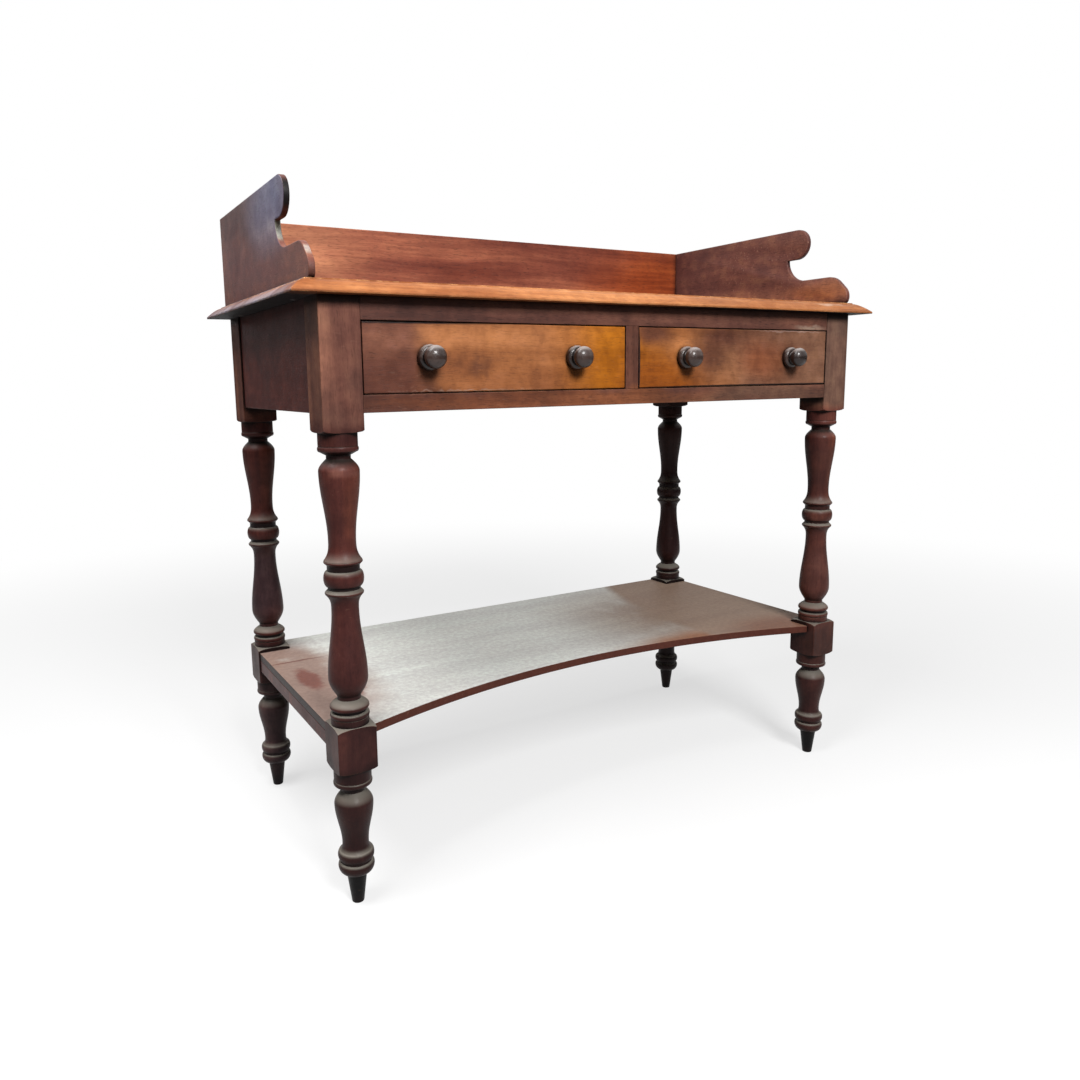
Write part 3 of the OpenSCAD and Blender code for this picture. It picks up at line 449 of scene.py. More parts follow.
drawerLook = {
    "dark": rgb(148, 90, 54), "mid": rgb(202, 132, 78), "light": rgb(226, 152, 96),
    "streakMix": 0.25, "mottleMix": 0.4, "poreMix": 0.28, "wornMix": 0.6,
    "patina": rgb(160, 98, 60), "patinaMix": 0.35,
    "patches": [
        frontPatch(-0.42, 0.66, 0.145, 0.2, rgb(138, 88, 66), 1.0, 0.35),
        frontPatch(-0.29, 0.62, 0.03, 0.04, rgb(112, 70, 52), 0.9, 0.8, 0.03),
        frontPatch(-0.23, 0.65, 0.036, 0.014, rgb(128, 82, 58), 0.7, 0.9, 0.05, 40),
        frontPatch(-0.02, 0.655, 0.13, 0.2, rgb(196, 116, 26), 1.0, 0.8),  # amber
        frontPatch(0.05, 0.63, 0.12, 0.05, rgb(168, 92, 28), 1.0, 0.8),
        frontPatch(0.14, 0.66, 0.075, 0.06, rgb(110, 68, 47), 1.0, 0.9),
        frontPatch(0.33, 0.66, 0.2, 0.2, rgb(140, 98, 72), 1.0, 0.5, 0.06),
        frontPatch(0.17, 0.69, 0.08, 0.03, rgb(98, 58, 44), 0.9, 0.9),
        frontPatch(0.035, 0.688, 0.06, 0.03, rgb(116, 72, 54), 0.9, 0.8, 0.04),
        frontPatch(0.275, 0.65, 0.06, 0.06, rgb(120, 76, 52), 1.0, 0.9),
        frontPatch(-0.265, 0.632, 0.045, 0.018, rgb(214, 142, 84), 0.9, 0.9, 0.03),
        frontPatch(0.235, 0.655, 0.06, 0.05, rgb(150, 90, 58), 1.0, 0.9, 0.04),
        # Painted shade along the gaps round the fronts
        gapShade(-0.39, 0.698, 0.26, 0.0032, rgb(24, 14, 15), 0.5),
        gapShade(0.25, 0.618, 0.3, 0.0026, rgb(30, 16, 14), 0.4),
        gapShade(0.0117, 0.65, 0.0024, 0.05, rgb(34, 18, 16), 0.3),
        frontPatch(-0.25, 0.6195, 0.13, 0.0016, rgb(214, 186, 160), 0.5, 0.9, 0.012, 90),  # rubbed
        frontPatch(0.3, 0.6965, 0.1, 0.0016, rgb(196, 170, 152), 0.5, 0.9, 0.01, 90),
    ],
}

# Top: warm brown, a painted grey sheen along its left end, painted shade below
topLook = {
    "dark": rgb(124, 70, 40), "mid": rgb(162, 102, 60), "light": rgb(190, 130, 84),
    "patina": rgb(140, 82, 50), "patinaMix": 0.3, "mottleMix": 0.25, "streakMix": 0.5,
    "worn": rgb(226, 172, 120), "wornMix": 1.0, "specular": 0.08, "coat": 0.0,
    "patches": [
        # Painted grey sheen along the left end
        patch((-0.45, 0, 0.73), (0.04, 0.5, 0.05), rgb(148, 136, 138), 1.0, 0.3, 0.01,
              facing=(-1, 0, 0.2)),
        # Painted shade on the underside
        patch((0, 0, 0.725), (far, far, 0.01), rgb(12, 7, 8), 1.0, 0.3, 0, facing=(0, 0, -1)),
        patch((-0.2, -0.2, 0.735), (0.4, 0.03, 0.03), rgb(188, 122, 72), 0.9, 0.5, 0.03),
        # Painted highlight at the right end of the front edge
        patch((0.38, -0.199, 0.739), (0.06, 0.009, 0.005), rgb(220, 200, 180), 0.6, 0.9, 0.006, 60),
    ],
}

# Gallery: a red back with streaks, and sides with a painted blue sheen outside near the front
backLook = {
    "dark": rgb(116, 60, 46), "mid": rgb(153, 88, 66), "light": rgb(182, 116, 84),
    "patina": rgb(118, 60, 44), "patinaMix": 0.35, "mottleMix": 0.15, "streakMix": 0.6,
    "worn": rgb(220, 160, 110), "wornMix": 0.9,
    "patches": [
        patch((-0.34, 0.21, 0.80), (0.16, 0.3, 0.12), rgb(192, 128, 94), 1.0, 0.9, 0.06),
        patch((-0.04, 0.21, 0.81), (0.14, 0.3, 0.03), rgb(132, 68, 48), 0.8, 0.9),
        patch((0.40, 0.21, 0.80), (0.26, 0.3, 0.12), rgb(182, 92, 46), 1.0, 0.8, 0.06),
    ],
}


def rimPatch(y, z, deep, high, colour, amount, soft):  # on the front rim of the left side
    return patch((-0.43, y, z), (0.02, deep, high), colour, amount, soft, 0.01, 30, (0, -1, 0))


toLeft = (-1, 0, 0)  # the left side's outer face and the right side's inner one
sideLook = {
    "along": "Y", "dark": rgb(88, 50, 44), "mid": rgb(118, 70, 58), "light": rgb(148, 94, 70),
    "patina": rgb(94, 60, 54), "patinaMix": 0.35, "worn": rgb(150, 132, 124),
    "mottleMix": 0.4, "streakMix": 0.2, "bandMix": 0.2, "scuffMix": 0.5,
    "patches": [
        patch((-0.432, 0.05, 0.8), (0.2, 0.22, 0.12), rgb(98, 52, 48), 1.0, 0.5, 0.04, 9, toLeft),
        # Painted blue sheen on the outside near the front
        patch((-0.432, -0.05, 0.85), (0.2, 0.16, 0.08), rgb(146, 142, 166), 1.0, 1.0, 0.04, 9, toLeft),
        # Painted shade on the nose's front rim
        rimPatch(-0.1, 0.845, 0.06, 0.035, rgb(18, 12, 12), 1.0, 0.3),
        # Painted highlight on the scroll's rim
        rimPatch(-0.16, 0.773, 0.03, 0.012, rgb(190, 186, 182), 0.9, 0.6),
        rimPatch(-0.165, 0.75, 0.03, 0.014, rgb(84, 60, 56), 0.9, 0.5),
        # Painted highlight on the cove's rim
        rimPatch(-0.07, 0.81, 0.02, 0.02, rgb(150, 150, 138), 0.9, 0.5),
        patch((-0.437, -0.1, 0.862), (0.006, 0.03, 0.025), rgb(222, 224, 230), 1.0, 0.4, 0.0, 30,
              (-0.6, -0.6, 0.5)),  # painted highlight on the arris
        patch((0.425, -0.02, 0.79), (0.03, 0.3, 0.12), rgb(140, 92, 76), 0.8, 0.5, 0.04, 12, toLeft),
        patch((0.42, -0.14, 0.765), (0.03, 0.1, 0.03), rgb(150, 90, 60), 0.9, 0.8, 0.04, 12, toLeft),
    ],
}


# Shelf: pale in the middle with dust and a painted sheen, pink-brown with smears at the left, brown at
# the right, painted shade on its left end
def shelfPatch(x, y, wide, deep, colour, soft, ragged, grainy, amount=1.0):
    return patch((x, y, 0.226), (wide, deep, 0.02), colour, amount, soft, ragged, grainy, (0, 0, 1))


shelfLook = {
    "dark": rgb(96, 60, 50), "mid": rgb(124, 82, 66), "light": rgb(144, 100, 80), "wornMix": 0.1,
    "patina": rgb(108, 76, 62), "patinaMix": 0.1, "dustAndSheen": rgb(168, 160, 150), "dustAndSheenMix": 0.1,
    "figureMix": 0.2, "bandMix": 0.1, "streakMix": 0.1, "poreMix": 0.1, "grimeAndShadeMix": 0.5,
    "mottleScale": 150, "mottleMix": 0.25, "rough": (0.42, 0.55), "specular": 0.12, "coat": 0.0,
    "patches": [
        # Dust and a painted sheen on the upward faces
        shelfPatch(0, 0, far, far, rgb(226, 227, 221), 0.3, 0, 8),
        shelfPatch(-0.47, 0.03, 0.19, 0.3, rgb(154, 126, 114), 0.4, 0.04, 12),
        shelfPatch(-0.395, 0.02, 0.02, 0.06, rgb(124, 66, 54), 0.5, 0.02, 60),
        shelfPatch(-0.355, -0.03, 0.022, 0.06, rgb(124, 72, 60), 0.5, 0.03, 60),
        shelfPatch(-0.39, 0.105, 0.06, 0.004, rgb(112, 64, 52), 0.7, 0.008, 30),
        shelfPatch(0.22, 0.0, 0.26, 0.3, rgb(148, 122, 104), 1.0, 0.05, 8),
        shelfPatch(0.17, -0.13, 0.22, 0.06, rgb(150, 96, 62), 0.9, 0.04, 10),
        shelfPatch(0.49, -0.06, 0.29, 0.5, rgb(152, 126, 108), 0.08, 0.005, 8),
        shelfPatch(0.33, -0.16, 0.13, 0.1, rgb(124, 76, 52), 0.8, 0.03, 12, 0.9),
        patch((0, -0.15, 0.22), (far, 0.2, 0.03), rgb(88, 48, 38), 1.0, 0.3, 0, 8, (0, -1, 0)),
        # Painted shade on the left end
        patch((-0.43, 0, 0.22), (0.03, far, 0.03), rgb(44, 28, 25), 1.0, 0.3, 0, 8, (-1, 0, 0)),
    ],
}

# Knobs: black and polished, with a painted highlight on top. Hidden parts: plain pine
knobLook = {
    "dark": rgb(42, 30, 27), "mid": rgb(68, 50, 45), "light": rgb(92, 72, 64),
    "patina": rgb(26, 18, 18), "worn": rgb(80, 62, 54), "scuffMix": 0.0,
    "dustAndSheen": rgb(186, 176, 172), "dustAndSheenMix": 0.7, "dustAndSheenFrom": 0.4, "dustAndSheenTo": 0.9,
    "rough": (0.3, 0.42), "specular": 0.25, "coat": 0.3, "coatRough": 0.12,
}
pineLook = {
    "dark": rgb(150, 112, 72), "mid": rgb(178, 138, 92), "light": rgb(196, 160, 112),
    "patina": rgb(140, 104, 70), "worn": rgb(196, 164, 120), "nickMix": 0.2,
    "figure": (1.0, 16, 16), "bands": 40, "bandMix": 0.5, "poreMix": 0.1, "mottleMix": 0.2,
    "rough": (0.6, 0.75), "specular": 0.3, "coat": 0.0,
}
steelLook = {"bare": rgb(138, 138, 138), "rust": rgb(92, 70, 56), "rustScale": 260, "rough": (0.32, 0.7)}


def makeSteel(name, look):
    material = bpy.data.materials.new(name)
    material.use_nodes = True
    tree = material.node_tree
    shader = tree.nodes["Principled BSDF"]
    place = addNode(tree, "TexCoord", {}).outputs["Object"]
    rust = noise(tree, place, (look["rustScale"],) * 3, 4, 0.6)
    colour = blend(tree, span(tree, rust, *limits["rust"]), look["bare"], look["rust"])
    tree.links.new(colour, shader.inputs["Base Color"])
    rough = span(tree, rust, *limits["rustRough"], *look["rough"])
    tree.links.new(rough, shader.inputs["Roughness"])
    shader.inputs["Metallic"].default_value = 1
    return material


finishes = {
    "leg": makeWood("mahogany_leg", legLook),
    "railX": makeWood("mahogany_rail", railLook),
    "stileZ": makeWood("mahogany_stile", stileLook),
    "apronY": makeWood("mahogany_apron", apronLook),
    "drawer": makeWood("mahogany_drawer_front", drawerLook),
    "top": makeWood("mahogany_top", topLook),
    "galleryBack": makeWood("mahogany_gallery_back", backLook),
    "gallerySide": makeWood("mahogany_gallery_side", sideLook),
    "shelf": makeWood("mahogany_shelf", shelfLook),
    "shelfRail": makeWood("mahogany_shelf_rail", shelfRailLook),
    "knob": makeWood("ebonised_knob", knobLook),
    "pineY": makeWood("pine_along", {**pineLook, "along": "Y"}),
    "pineX": makeWood("pine_across", pineLook),
    "steel": makeSteel("old_steel", steelLook),
}

print("stage: shapes")

# How every mesh is cleaned and softened: distances in mm, angles in degrees
making = {"weld": 0.01, "thin": 0.05, "segments": 3, "softAngle": 40, "slabAngle": 60, "smoothAngle": 35}


def arc(centre, across, up, start, end, count=16):
    points = []
    for i in range(count + 1):
        turn = math.radians(start + (end - start) * i / count)
        points.append((centre[0] + across * math.cos(turn), centre[1] + up * math.sin(turn)))
    return points


def thinOut(profile):  # drops points that all but meet the one before
    kept = [profile[0]]
    for point in profile[1:]:
        if math.dist(point, kept[-1]) > making["thin"]:
            kept.append(point)
    return kept


def select(piece):
    bpy.ops.object.select_all(action="DESELECT")
    piece.select_set(True)
    bpy.context.view_layer.objects.active = piece


def startPiece(name, point):
    bpy.ops.object.select_all(action="DESELECT")
    bpy.ops.mesh.primitive_plane_add(size=mm)
    piece = bpy.context.object
    piece.name = piece.data.name = name
    bpy.ops.object.mode_set(mode="EDIT")
    bpy.ops.mesh.select_mode(type="VERT")
    bpy.ops.mesh.merge(type="CENTER")  # one point is left to draw with
    bpy.ops.transform.translate(value=point)
    return piece


def drawOn(points):
    for here, there in zip(points, points[1:]):
        step = Vector(there) - Vector(here)
        bpy.ops.mesh.extrude_region_move(TRANSFORM_OT_translate={"value": step})


def closeMesh(near=making["weld"]):
    bpy.ops.mesh.select_all(action="SELECT")
    bpy.ops.mesh.remove_doubles(threshold=near * mm)
    bpy.ops.mesh.normals_make_consistent(inside=False)


def drawSlab(name, points, depth):  # a closed outline, filled and pushed through
    slab = startPiece(name, points[0])
    drawOn(points + [points[0]])
    closeMesh()
    bpy.ops.mesh.edge_face_add()
    bpy.ops.mesh.extrude_region_move(TRANSFORM_OT_translate={"value": depth})
    closeMesh()
    bpy.ops.object.mode_set(mode="OBJECT")
    return slab


def applyModifier(piece, kind, **settings):
    bpy.context.view_layer.objects.active = piece
    modifier = piece.modifiers.new(kind.lower(), kind)
    for setting, value in settings.items():
        setattr(modifier, setting, value)
    bpy.ops.object.modifier_apply(modifier=modifier.name)


def softenEdges(piece, width, angle=making["softAngle"]):
    applyModifier(
        piece, "BEVEL", width=width * mm, segments=making["segments"], limit_method="ANGLE",
        angle_limit=math.radians(angle), use_clamp_overlap=True, harden_normals=False,
    )


def smooth(piece, angle=making["smoothAngle"]):
    select(piece)
    bpy.ops.object.shade_smooth_by_angle(angle=math.radians(angle))
    applyModifier(piece, "WEIGHTED_NORMAL", keep_sharp=True)  # flat faces stay flat


def cutWith(piece, node):
    select(nodes[node])
    bpy.ops.object.duplicate()
    cutter = bpy.context.object
    bpy.ops.object.mode_set(mode="EDIT")
    bpy.ops.mesh.select_all(action="SELECT")
    bpy.ops.mesh.remove_doubles(threshold=making["weld"] * mm)
    bpy.ops.object.mode_set(mode="OBJECT")
    applyModifier(piece, "BOOLEAN", operation="DIFFERENCE", object=cutter, solver="EXACT")
    bpy.data.objects.remove(cutter)


def finishPiece(piece, finish, body, node):
    piece.data.materials.clear()
    piece.data.materials.append(finishes[finish])
    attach(piece, body)
    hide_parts(node)


def copyPiece(piece, name, shift=(0, 0, 0), mirrored=False):
    select(piece)
    bpy.ops.object.duplicate()
    twin = bpy.context.object
    twin.name = twin.data.name = name
    bpy.ops.object.mode_set(mode="EDIT")
    bpy.ops.mesh.select_all(action="SELECT")
    if mirrored:
        bpy.ops.transform.resize(value=(-1, 1, 1), center_override=(0, 0, 0))
        bpy.ops.mesh.normals_make_consistent(inside=False)
    bpy.ops.transform.translate(value=shift)
    bpy.ops.object.mode_set(mode="OBJECT")
    return twin


def makeBoard(name, node):
    low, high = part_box(node)
    bpy.ops.object.select_all(action="DESELECT")
    bpy.ops.mesh.primitive_cube_add(size=1, location=(low + high) / 2, scale=high - low)
    board = bpy.context.object
    board.name = board.data.name = name
    bpy.ops.object.transform_apply(location=True, rotation=True, scale=True)
    return board


print("stage: legs")

# Radii of the turning, then its heights from the floor up, all in mm
turning = {
    "side": 48, "height": 725, "arris": 1.1, "segments": 72, "weld": 0.03, "smooth": 33,
    "full": 23.4, "collar": 22.6, "bead": 21.5, "groove": 19, "waist": 16, "neck": 14,
    "toe": 7.5, "toeRound": 1.2, "pegTop": 12, "footRing": 22, "lipRound": 1.8, "pommel": 5.5,
    "peg": (36, 39), "footCup": (39, 55), "footBand": (58, 70), "footHollow": (70, 80),
    "footVase": (80, 130.5), "footShoulder": (130.5, 146.5), "footNeck": 150.5,
    "footBead": (154.5, 161), "shelfBlock": (181.5, 226), "shelfBead": (239.5, 246),
    "lowCup": (249, 262), "lowRise": (266, 288), "lowVase": (288, 371.5), "lowFlare": (371.5, 389),
    "lowLip": 390.7, "lowGroove": (395, 398), "band": (398, 417), "highGroove": 423,
    "highLip": 427.3, "highFlare": (429, 451.5), "highVase": (451.5, 532),
    "highShoulder": (532, 546), "highNeck": 550, "highBead": (554, 560.5),
    "highCollar": 575.5, "upperBlock": 581,
    "footCupPeak": 0.7, "lowCupPeak": 0.3, "flareShort": 0.5,
}


def ring(heights, radius, root):
    low, high = heights
    half = (high - low) / 2
    return arc((root, low + half), radius - root, half, -90, 90)


def cup(heights, radius, stem, root, peak):
    low, high = heights
    rise = (high - low) * peak
    return (
        arc((stem, low + rise), radius - stem, rise, -90, 0)
        + arc((root, low + rise), radius - root, (high - low) * (1 - peak), 0, 90)
    )


def between(heights, r0, r1, shape, count=14):
    low, high = heights
    points = []
    for i in range(count + 1):
        t = i / count
        points.append((r0 + (r1 - r0) * shape(t), low + (high - low) * t))
    return points


def sweep(t):
    return (1 - math.cos(math.pi * t)) / 2


def flareUp(t):
    return t ** 3


def flareDown(t):
    return 1 - (1 - t) ** 3


def roundUp(t):
    return math.sin(math.pi / 2 * t)


def roundOff(t):
    return 1 - math.cos(math.pi / 2 * t)


def footProfile(t):
    full, collar, groove, neck = t["full"], t["collar"], t["groove"], t["neck"]
    toe, toeRound = t["toe"] - t["toeRound"], t["toeRound"]
    return (
        [(0, 0), (toe, 0)]
        + arc((toe, toeRound), toeRound, toeRound, -90, 0, 4)
        + [(t["pegTop"], z) for z in t["peg"]]
        + cup(t["footCup"], t["footRing"], t["pegTop"], groove, t["footCupPeak"])
        + ring(t["footBand"], t["footRing"], groove)
        + between(t["footHollow"], groove, t["waist"], flareDown)
        + between(t["footVase"], t["waist"], full, sweep, 20)
        + between(t["footShoulder"], full, neck, roundOff)
        + [(neck, t["footNeck"]), (t["bead"], t["footBead"][0])]
        + ring(t["footBead"], full, t["bead"])
        + [(collar, t["footBead"][1])]
    )


def shelfBlockProfile(t, corner):
    collar, pommel = t["collar"], t["pommel"]
    low, high = t["shelfBlock"]
    return (
        [(collar, low - pommel)]
        + arc((collar, low), corner - collar, pommel, -90, 0)
        + arc((collar, high), corner - collar, pommel, 0, 90)
        + [(collar, t["shelfBead"][0]), (t["bead"], t["shelfBead"][0])]
    )


def lowProfile(t):
    full, groove, waist, neck = t["full"], t["groove"], t["waist"], t["neck"]
    low, high = t["lowCup"]
    rise = (high - low) * t["lowCupPeak"]
    lip = t["lipRound"]
    return (
        ring(t["shelfBead"], full, t["bead"])
        + [(groove, t["shelfBead"][1]), (groove, low)]
        + arc((groove, low + rise), full - groove, rise, -90, 0)
        + between((low + rise, high), full, neck, roundOff)
        + [(neck, t["lowRise"][0])]
        + between(t["lowRise"], neck, full, roundUp)
        + between(t["lowVase"], full, waist, sweep, 26)
        + between(t["lowFlare"], waist, t["collar"] - t["flareShort"], flareUp)
        + arc((t["collar"] - lip, t["lowLip"]), lip, lip, -50, 60, 8)
        + [(groove, z) for z in t["lowGroove"]]
    )


def highProfile(t, corner):
    full, collar, bead, neck = t["full"], t["collar"], t["bead"], t["neck"]
    lip = t["lipRound"]
    return (
        ring(t["band"], full, t["groove"])
        + [(t["groove"], t["highGroove"])]
        + arc((collar - lip, t["highLip"]), lip, lip, -60, 50, 8)
        + between(t["highFlare"], collar - t["flareShort"], t["waist"], flareDown)
        + between(t["highVase"], t["waist"], full, sweep, 26)
        + between(t["highShoulder"], full, neck, roundOff)
        + [(neck, t["highNeck"]), (bead, t["highBead"][0])]
        + ring(t["highBead"], full, bead)
        + [(collar, t["highBead"][1]), (collar, t["highCollar"])]
        + arc((collar, t["upperBlock"]), corner - collar, t["pommel"], -90, 0)
        + [(corner, t["height"]), (0, t["height"])]
    )


def legProfile(t):
    corner = t["side"] / math.sqrt(2) + 1  # just clear of the square's corners
    return footProfile(t) + shelfBlockProfile(t, corner) + lowProfile(t) + highProfile(t, corner)


def makeStock(t, x, y):  # the square the leg is turned from, with eased arrises
    side, height = t["side"] * mm, t["height"] * mm
    bpy.ops.mesh.primitive_cube_add(size=1, location=(x, y, height / 2), scale=(side, side, height))
    stock = bpy.context.object
    bpy.ops.object.mode_set(mode="EDIT")
    bpy.ops.mesh.select_mode(type="EDGE")
    bpy.ops.mesh.select_all(action="DESELECT")
    mesh = bmesh.from_edit_mesh(stock.data)
    for edge in mesh.edges:
        if edge.verts[0].co.z * edge.verts[1].co.z < 0:  # upright
            edge.select_set(True)
    bmesh.update_edit_mesh(stock.data)
    bpy.ops.mesh.bevel(offset=t["arris"] * mm, segments=4)
    bpy.ops.object.mode_set(mode="OBJECT")
    return stock


def turnLeg(name, t, x, y):
    profile = [(x + r * mm, y, z * mm) for r, z in thinOut(legProfile(t))]
    leg = startPiece(name, profile[0])
    drawOn(profile)
    bpy.ops.mesh.select_all(action="SELECT")
    bpy.ops.mesh.spin(steps=t["segments"], angle=math.tau, center=(x, y, 0), axis=(0, 0, 1))
    closeMesh()
    bpy.ops.object.mode_set(mode="OBJECT")
    stock = makeStock(t, x, y)
    applyModifier(leg, "BOOLEAN", operation="INTERSECT", object=stock, solver="EXACT")
    bpy.data.objects.remove(stock)
    bpy.ops.object.mode_set(mode="EDIT")
    closeMesh(t["weld"])
    bpy.ops.object.mode_set(mode="OBJECT")
    smooth(leg, t["smooth"])
    return leg


def middleOf(node):
    low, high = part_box(node)
    return (low + high) / 2


firstLeg = "leg_front_left"
start = middleOf(firstLeg)
legs = {firstLeg: turnLeg("turned_" + firstLeg, turning, start.x, start.y)}
for node in ("leg_front_right", "leg_back_left", "leg_back_right"):
    shift = middleOf(node) - start
    legs[node] = copyPiece(legs[firstLeg], "turned_" + node, (shift.x, shift.y, 0))
for node, leg in legs.items():
    finishPiece(leg, "leg", "stand", node)

print("stage: top")

# Moulded edge of the top in mm: square lip, full thumb, small step
topEdge = {
    "lip": 2.5, "width": 21, "height": 13, "full": 1.5, "steps": 24, "soft": 0.6, "smooth": 30,
    "screws": ("gallery_screws", "top_screws"),
}


def edgeSteps(look, thick):
    edge = [(0, look["lip"])]
    for i in range(1, look["steps"] + 1):
        t = i / look["steps"]
        edge.append((look["width"] * t, look["lip"] + look["height"] * (1 - (1 - t) ** look["full"])))
    return edge + [(look["width"], thick)]


def makeTop(look):
    low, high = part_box("top_board")
    wide, deep = high.x - low.x, high.y - low.y
    bpy.ops.mesh.primitive_plane_add(size=1)
    top = bpy.context.object
    top.name = top.data.name = "moulded_top"
    bpy.ops.object.mode_set(mode="EDIT")
    bpy.ops.transform.resize(value=(wide, deep, 1), center_override=(0, 0, 0))
    bpy.ops.transform.translate(value=(0, (low.y + high.y) / 2, low.z))
    lastIn, lastUp = 0, 0
    for inwards, up in edgeSteps(look, (high.z - low.z) / mm):
        rise = (0, 0, (up - lastUp) * mm)
        bpy.ops.mesh.extrude_region_move(TRANSFORM_OT_translate={"value": rise})
        if inwards > lastIn:  # both ends and the front move in, the back stays
            across = (wide - 2 * inwards * mm) / (wide - 2 * lastIn * mm)
            along = (deep - inwards * mm) / (deep - lastIn * mm)
            bpy.ops.transform.resize(value=(across, along, 1), center_override=(0, high.y, 0))
        lastIn, lastUp = inwards, up
    closeMesh()
    bpy.ops.object.mode_set(mode="OBJECT")
    softenEdges(top, look["soft"])
    for screws in look["screws"]:
        cutWith(top, screws)
    smooth(top, look["smooth"])
    finishPiece(top, "top", "stand", "top_board")


makeTop(topEdge)

print("stage: gallery")

# Outline of a gallery side in mm, from its front tip and the top board
scroll = {
    "noseHigh": 47, "noseBack": 79, "noseReach": 42, "coveLong": 37, "coveHigh": 35,
    "armHigh": 43, "brow": 30, "tip": 20, "tuckHigh": 10, "tuckIn": 6, "soft": 1.1, "backSoft": 0.8,
}


def galleryOutline(look, deep, high):
    nose, brow, tip = look["noseHigh"] / 2, look["brow"], look["tip"]
    armHigh, tuckHigh, tuckIn = look["armHigh"], look["tuckHigh"], look["tuckIn"]
    browAt = armHigh - tuckHigh + (brow - tip) * (math.sqrt(2) - 1)
    cove = (look["noseBack"] + look["noseReach"] - look["coveLong"], armHigh + look["coveHigh"])
    return (
        [(deep, 0), (deep, high)]
        + arc((look["noseBack"] + nose, high - nose), nose, nose, 90, 270, 36)
        + arc(cove, look["coveLong"], look["coveHigh"], 0, -90, 20)
        + arc((browAt, armHigh - brow), brow, brow, 90, 135, 10)
        + arc((tip, tuckHigh), tip, tip, 135, 180, 6)
        + arc((tuckIn, tuckHigh), tuckIn, tuckHigh, 180, 270, 8)
    )


def makeGallerySide(look, housed):
    low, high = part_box("gallery_left")
    outline = galleryOutline(look, (high.y - low.y) / mm, (high.z - low.z) / mm)
    points = [(low.x, low.y + y * mm, low.z + z * mm) for y, z in thinOut(outline)]
    side = drawSlab("scrolled_gallery_left", points, (high.x - low.x, 0, 0))
    applyModifier(side, "BOOLEAN", operation="DIFFERENCE", object=housed, solver="EXACT")
    bpy.ops.object.mode_set(mode="EDIT")
    closeMesh()
    bpy.ops.object.mode_set(mode="OBJECT")
    softenEdges(side, look["soft"], making["slabAngle"])
    smooth(side)
    return side


galleryBack = makeBoard("gallery_back_board", "gallery_back")
galleryLeft = makeGallerySide(scroll, galleryBack)
galleryRight = copyPiece(galleryLeft, "scrolled_gallery_right", mirrored=True)
softenEdges(galleryBack, scroll["backSoft"])
smooth(galleryBack)
finishPiece(galleryBack, "galleryBack", "stand", "gallery_back")
finishPiece(galleryLeft, "gallerySide", "stand", "gallery_left")
finishPiece(galleryRight, "gallerySide", "stand", "gallery_right")

print("stage: shelf")

# The hollow front of the shelf in mm, from the front faces of the legs
shelfCut = {"frontSet": 14, "hollow": 68, "steps": 64, "soft": 0.7}


def shelfOutline(look, low, high):
    legLow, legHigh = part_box("leg_front_left")
    inX, frontIn = legHigh.x, legHigh.y
    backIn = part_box("leg_back_left")[0].y
    front = legLow.y + look["frontSet"] * mm
    deep = look["hollow"] * mm
    radius = (inX ** 2 + deep ** 2) / (2 * deep)
    reach = math.degrees(math.asin(-inX / radius))
    hollow = arc((0, front + deep - radius), radius, radius, 90 + reach, 90 - reach, look["steps"])
    return (
        [(low.x, frontIn), (inX, frontIn), (inX, front)] + hollow
        + [(-inX, front), (-inX, frontIn), (high.x, frontIn)]
        + [(high.x, backIn), (-inX, backIn), (-inX, high.y)]
        + [(inX, high.y), (inX, backIn), (low.x, backIn)]
    )


def makeShelf(look):
    low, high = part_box("shelf")
    points = [(x, y, low.z) for x, y in shelfOutline(look, low, high)]
    shelf = drawSlab("hollow_shelf", points, (0, 0, high.z - low.z))
    softenEdges(shelf, look["soft"], making["slabAngle"])
    smooth(shelf)
    finishPiece(shelf, "shelf", "stand", "shelf")


makeShelf(shelfCut)

print("stage: drawer fronts")

# The fronts keep the sockets, groove and bores of the parts that meet them; eased edges in mm
drawerFront = {"ease": 1.4, "cutBy": ("_outer_side", "_inner_side", "_bottom", "_knobs")}


def makeDrawerFront(drawer, look):
    front = makeBoard("panel_" + drawer + "_front", drawer + "_front")
    softenEdges(front, look["ease"])
    for part in look["cutBy"]:
        cutWith(front, drawer + part)
    smooth(front)
    finishPiece(front, "drawer", drawer, drawer + "_front")


for drawer in ("drawer_left", "drawer_right"):
    makeDrawerFront(drawer, drawerFront)

print("stage: knobs")

# A turned knob in mm: spigot, flange, neck and bulb
knobTurning = {
    "out": 29, "deep": 20, "spigot": 6, "flange": 15, "flangeThick": 9.5, "flangeRound": 4,
    "neck": 9, "neckLong": 3, "neckRound": 1, "bulb": 13.5, "bulbBack": 7, "span": 205,
    "segments": 56, "smooth": 50,
}


def knobProfile(k):
    thick, neck, small = k["flangeThick"], k["neck"], k["neckRound"]
    bulbAt = thick + k["neckLong"] + k["bulbBack"]
    return (
        [(0, -k["deep"]), (k["spigot"], -k["deep"]), (k["spigot"], 0)]
        + arc((k["flange"] - k["flangeRound"], thick / 2), k["flangeRound"], thick / 2, -90, 90)
        + arc((neck + small, thick + small), small, small, 270, 180, 4)
        + arc((neck, bulbAt), k["bulb"] - neck, k["bulbBack"], -90, 0)
        + arc((0, bulbAt), k["bulb"], k["out"] - bulbAt, 0, 90, 20)
    )


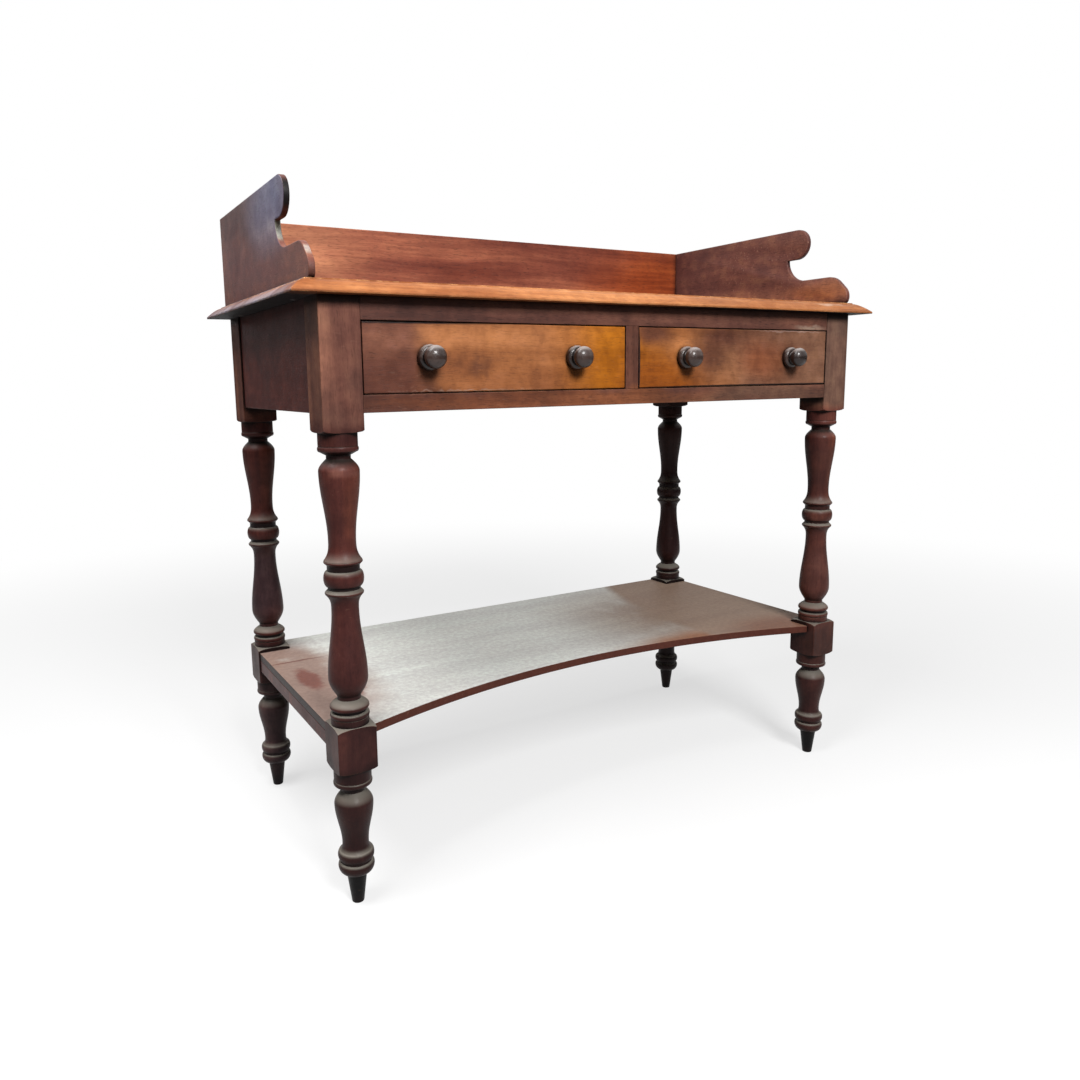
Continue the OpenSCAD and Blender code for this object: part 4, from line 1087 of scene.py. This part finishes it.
def makeKnobs(drawer, name, k):
    node = drawer + "_knobs"
    low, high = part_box(node)
    x, z = low.x + k["flange"] * mm, (low.z + high.z) / 2
    face = low.y + k["out"] * mm
    points = [(x + r * mm, face - out * mm, z) for r, out in thinOut(knobProfile(k))]
    knobs = startPiece(name, points[0])
    drawOn(points)
    bpy.ops.mesh.select_all(action="SELECT")
    bpy.ops.mesh.spin(steps=k["segments"], angle=math.tau, center=(x, face, z), axis=(0, 1, 0))
    closeMesh()
    bpy.ops.mesh.duplicate_move(TRANSFORM_OT_translate={"value": (k["span"] * mm, 0, 0)})
    bpy.ops.object.mode_set(mode="OBJECT")
    smooth(knobs, k["smooth"])
    finishPiece(knobs, "knob", drawer, node)


makeKnobs("drawer_left", "turned_knobs_left", knobTurning)
makeKnobs("drawer_right", "turned_knobs_right", knobTurning)

print("stage: frame finishes")

# Which finish each kept CAD solid gets, and how much its edges are eased in mm
places = ("left", "right", "centre")
drawers = ("drawer_left_", "drawer_right_")
keptSolids = {
    "railX": (["apron_back", "front_top_rail", "front_bottom_rail"], 0.5),
    "stileZ": (["centre_stile"], 0.5),
    "apronY": (["apron_left", "apron_right"], 0.6),
    "shelfRail": (["shelf_rail_left", "shelf_rail_right"], 0.8),
    "steel": (
        ["gallery_screws", "top_screws", "shelf_screws"]
        + [drawer + "bottom_screws" for drawer in drawers], 0,
    ),
    "pineX": (
        ["drawer_stops", "glue_blocks"]
        + [drawer + part for drawer in drawers for part in ("back", "bottom")], 0.3,
    ),
    "pineY": (
        [part + place for part in ("runner_", "guide_", "kicker_") for place in places]
        + [drawer + part for drawer in drawers for part in ("outer_side", "inner_side")], 0.3,
    ),
}


def easeEdges(solid, width):
    weld = solid.modifiers.new("weld", "WELD")
    weld.merge_threshold = making["weld"] * mm
    bevel = solid.modifiers.new("ease", "BEVEL")
    bevel.width = width * mm
    bevel.segments = 2
    bevel.limit_method = "ANGLE"
    bevel.angle_limit = math.radians(making["softAngle"])


for finish, (names, ease) in keptSolids.items():
    for name in names:
        solid = nodes[name]
        solid.data.materials.clear()
        solid.data.materials.append(finishes[finish])
        if ease:
            easeEdges(solid, ease)

print("stage: done")
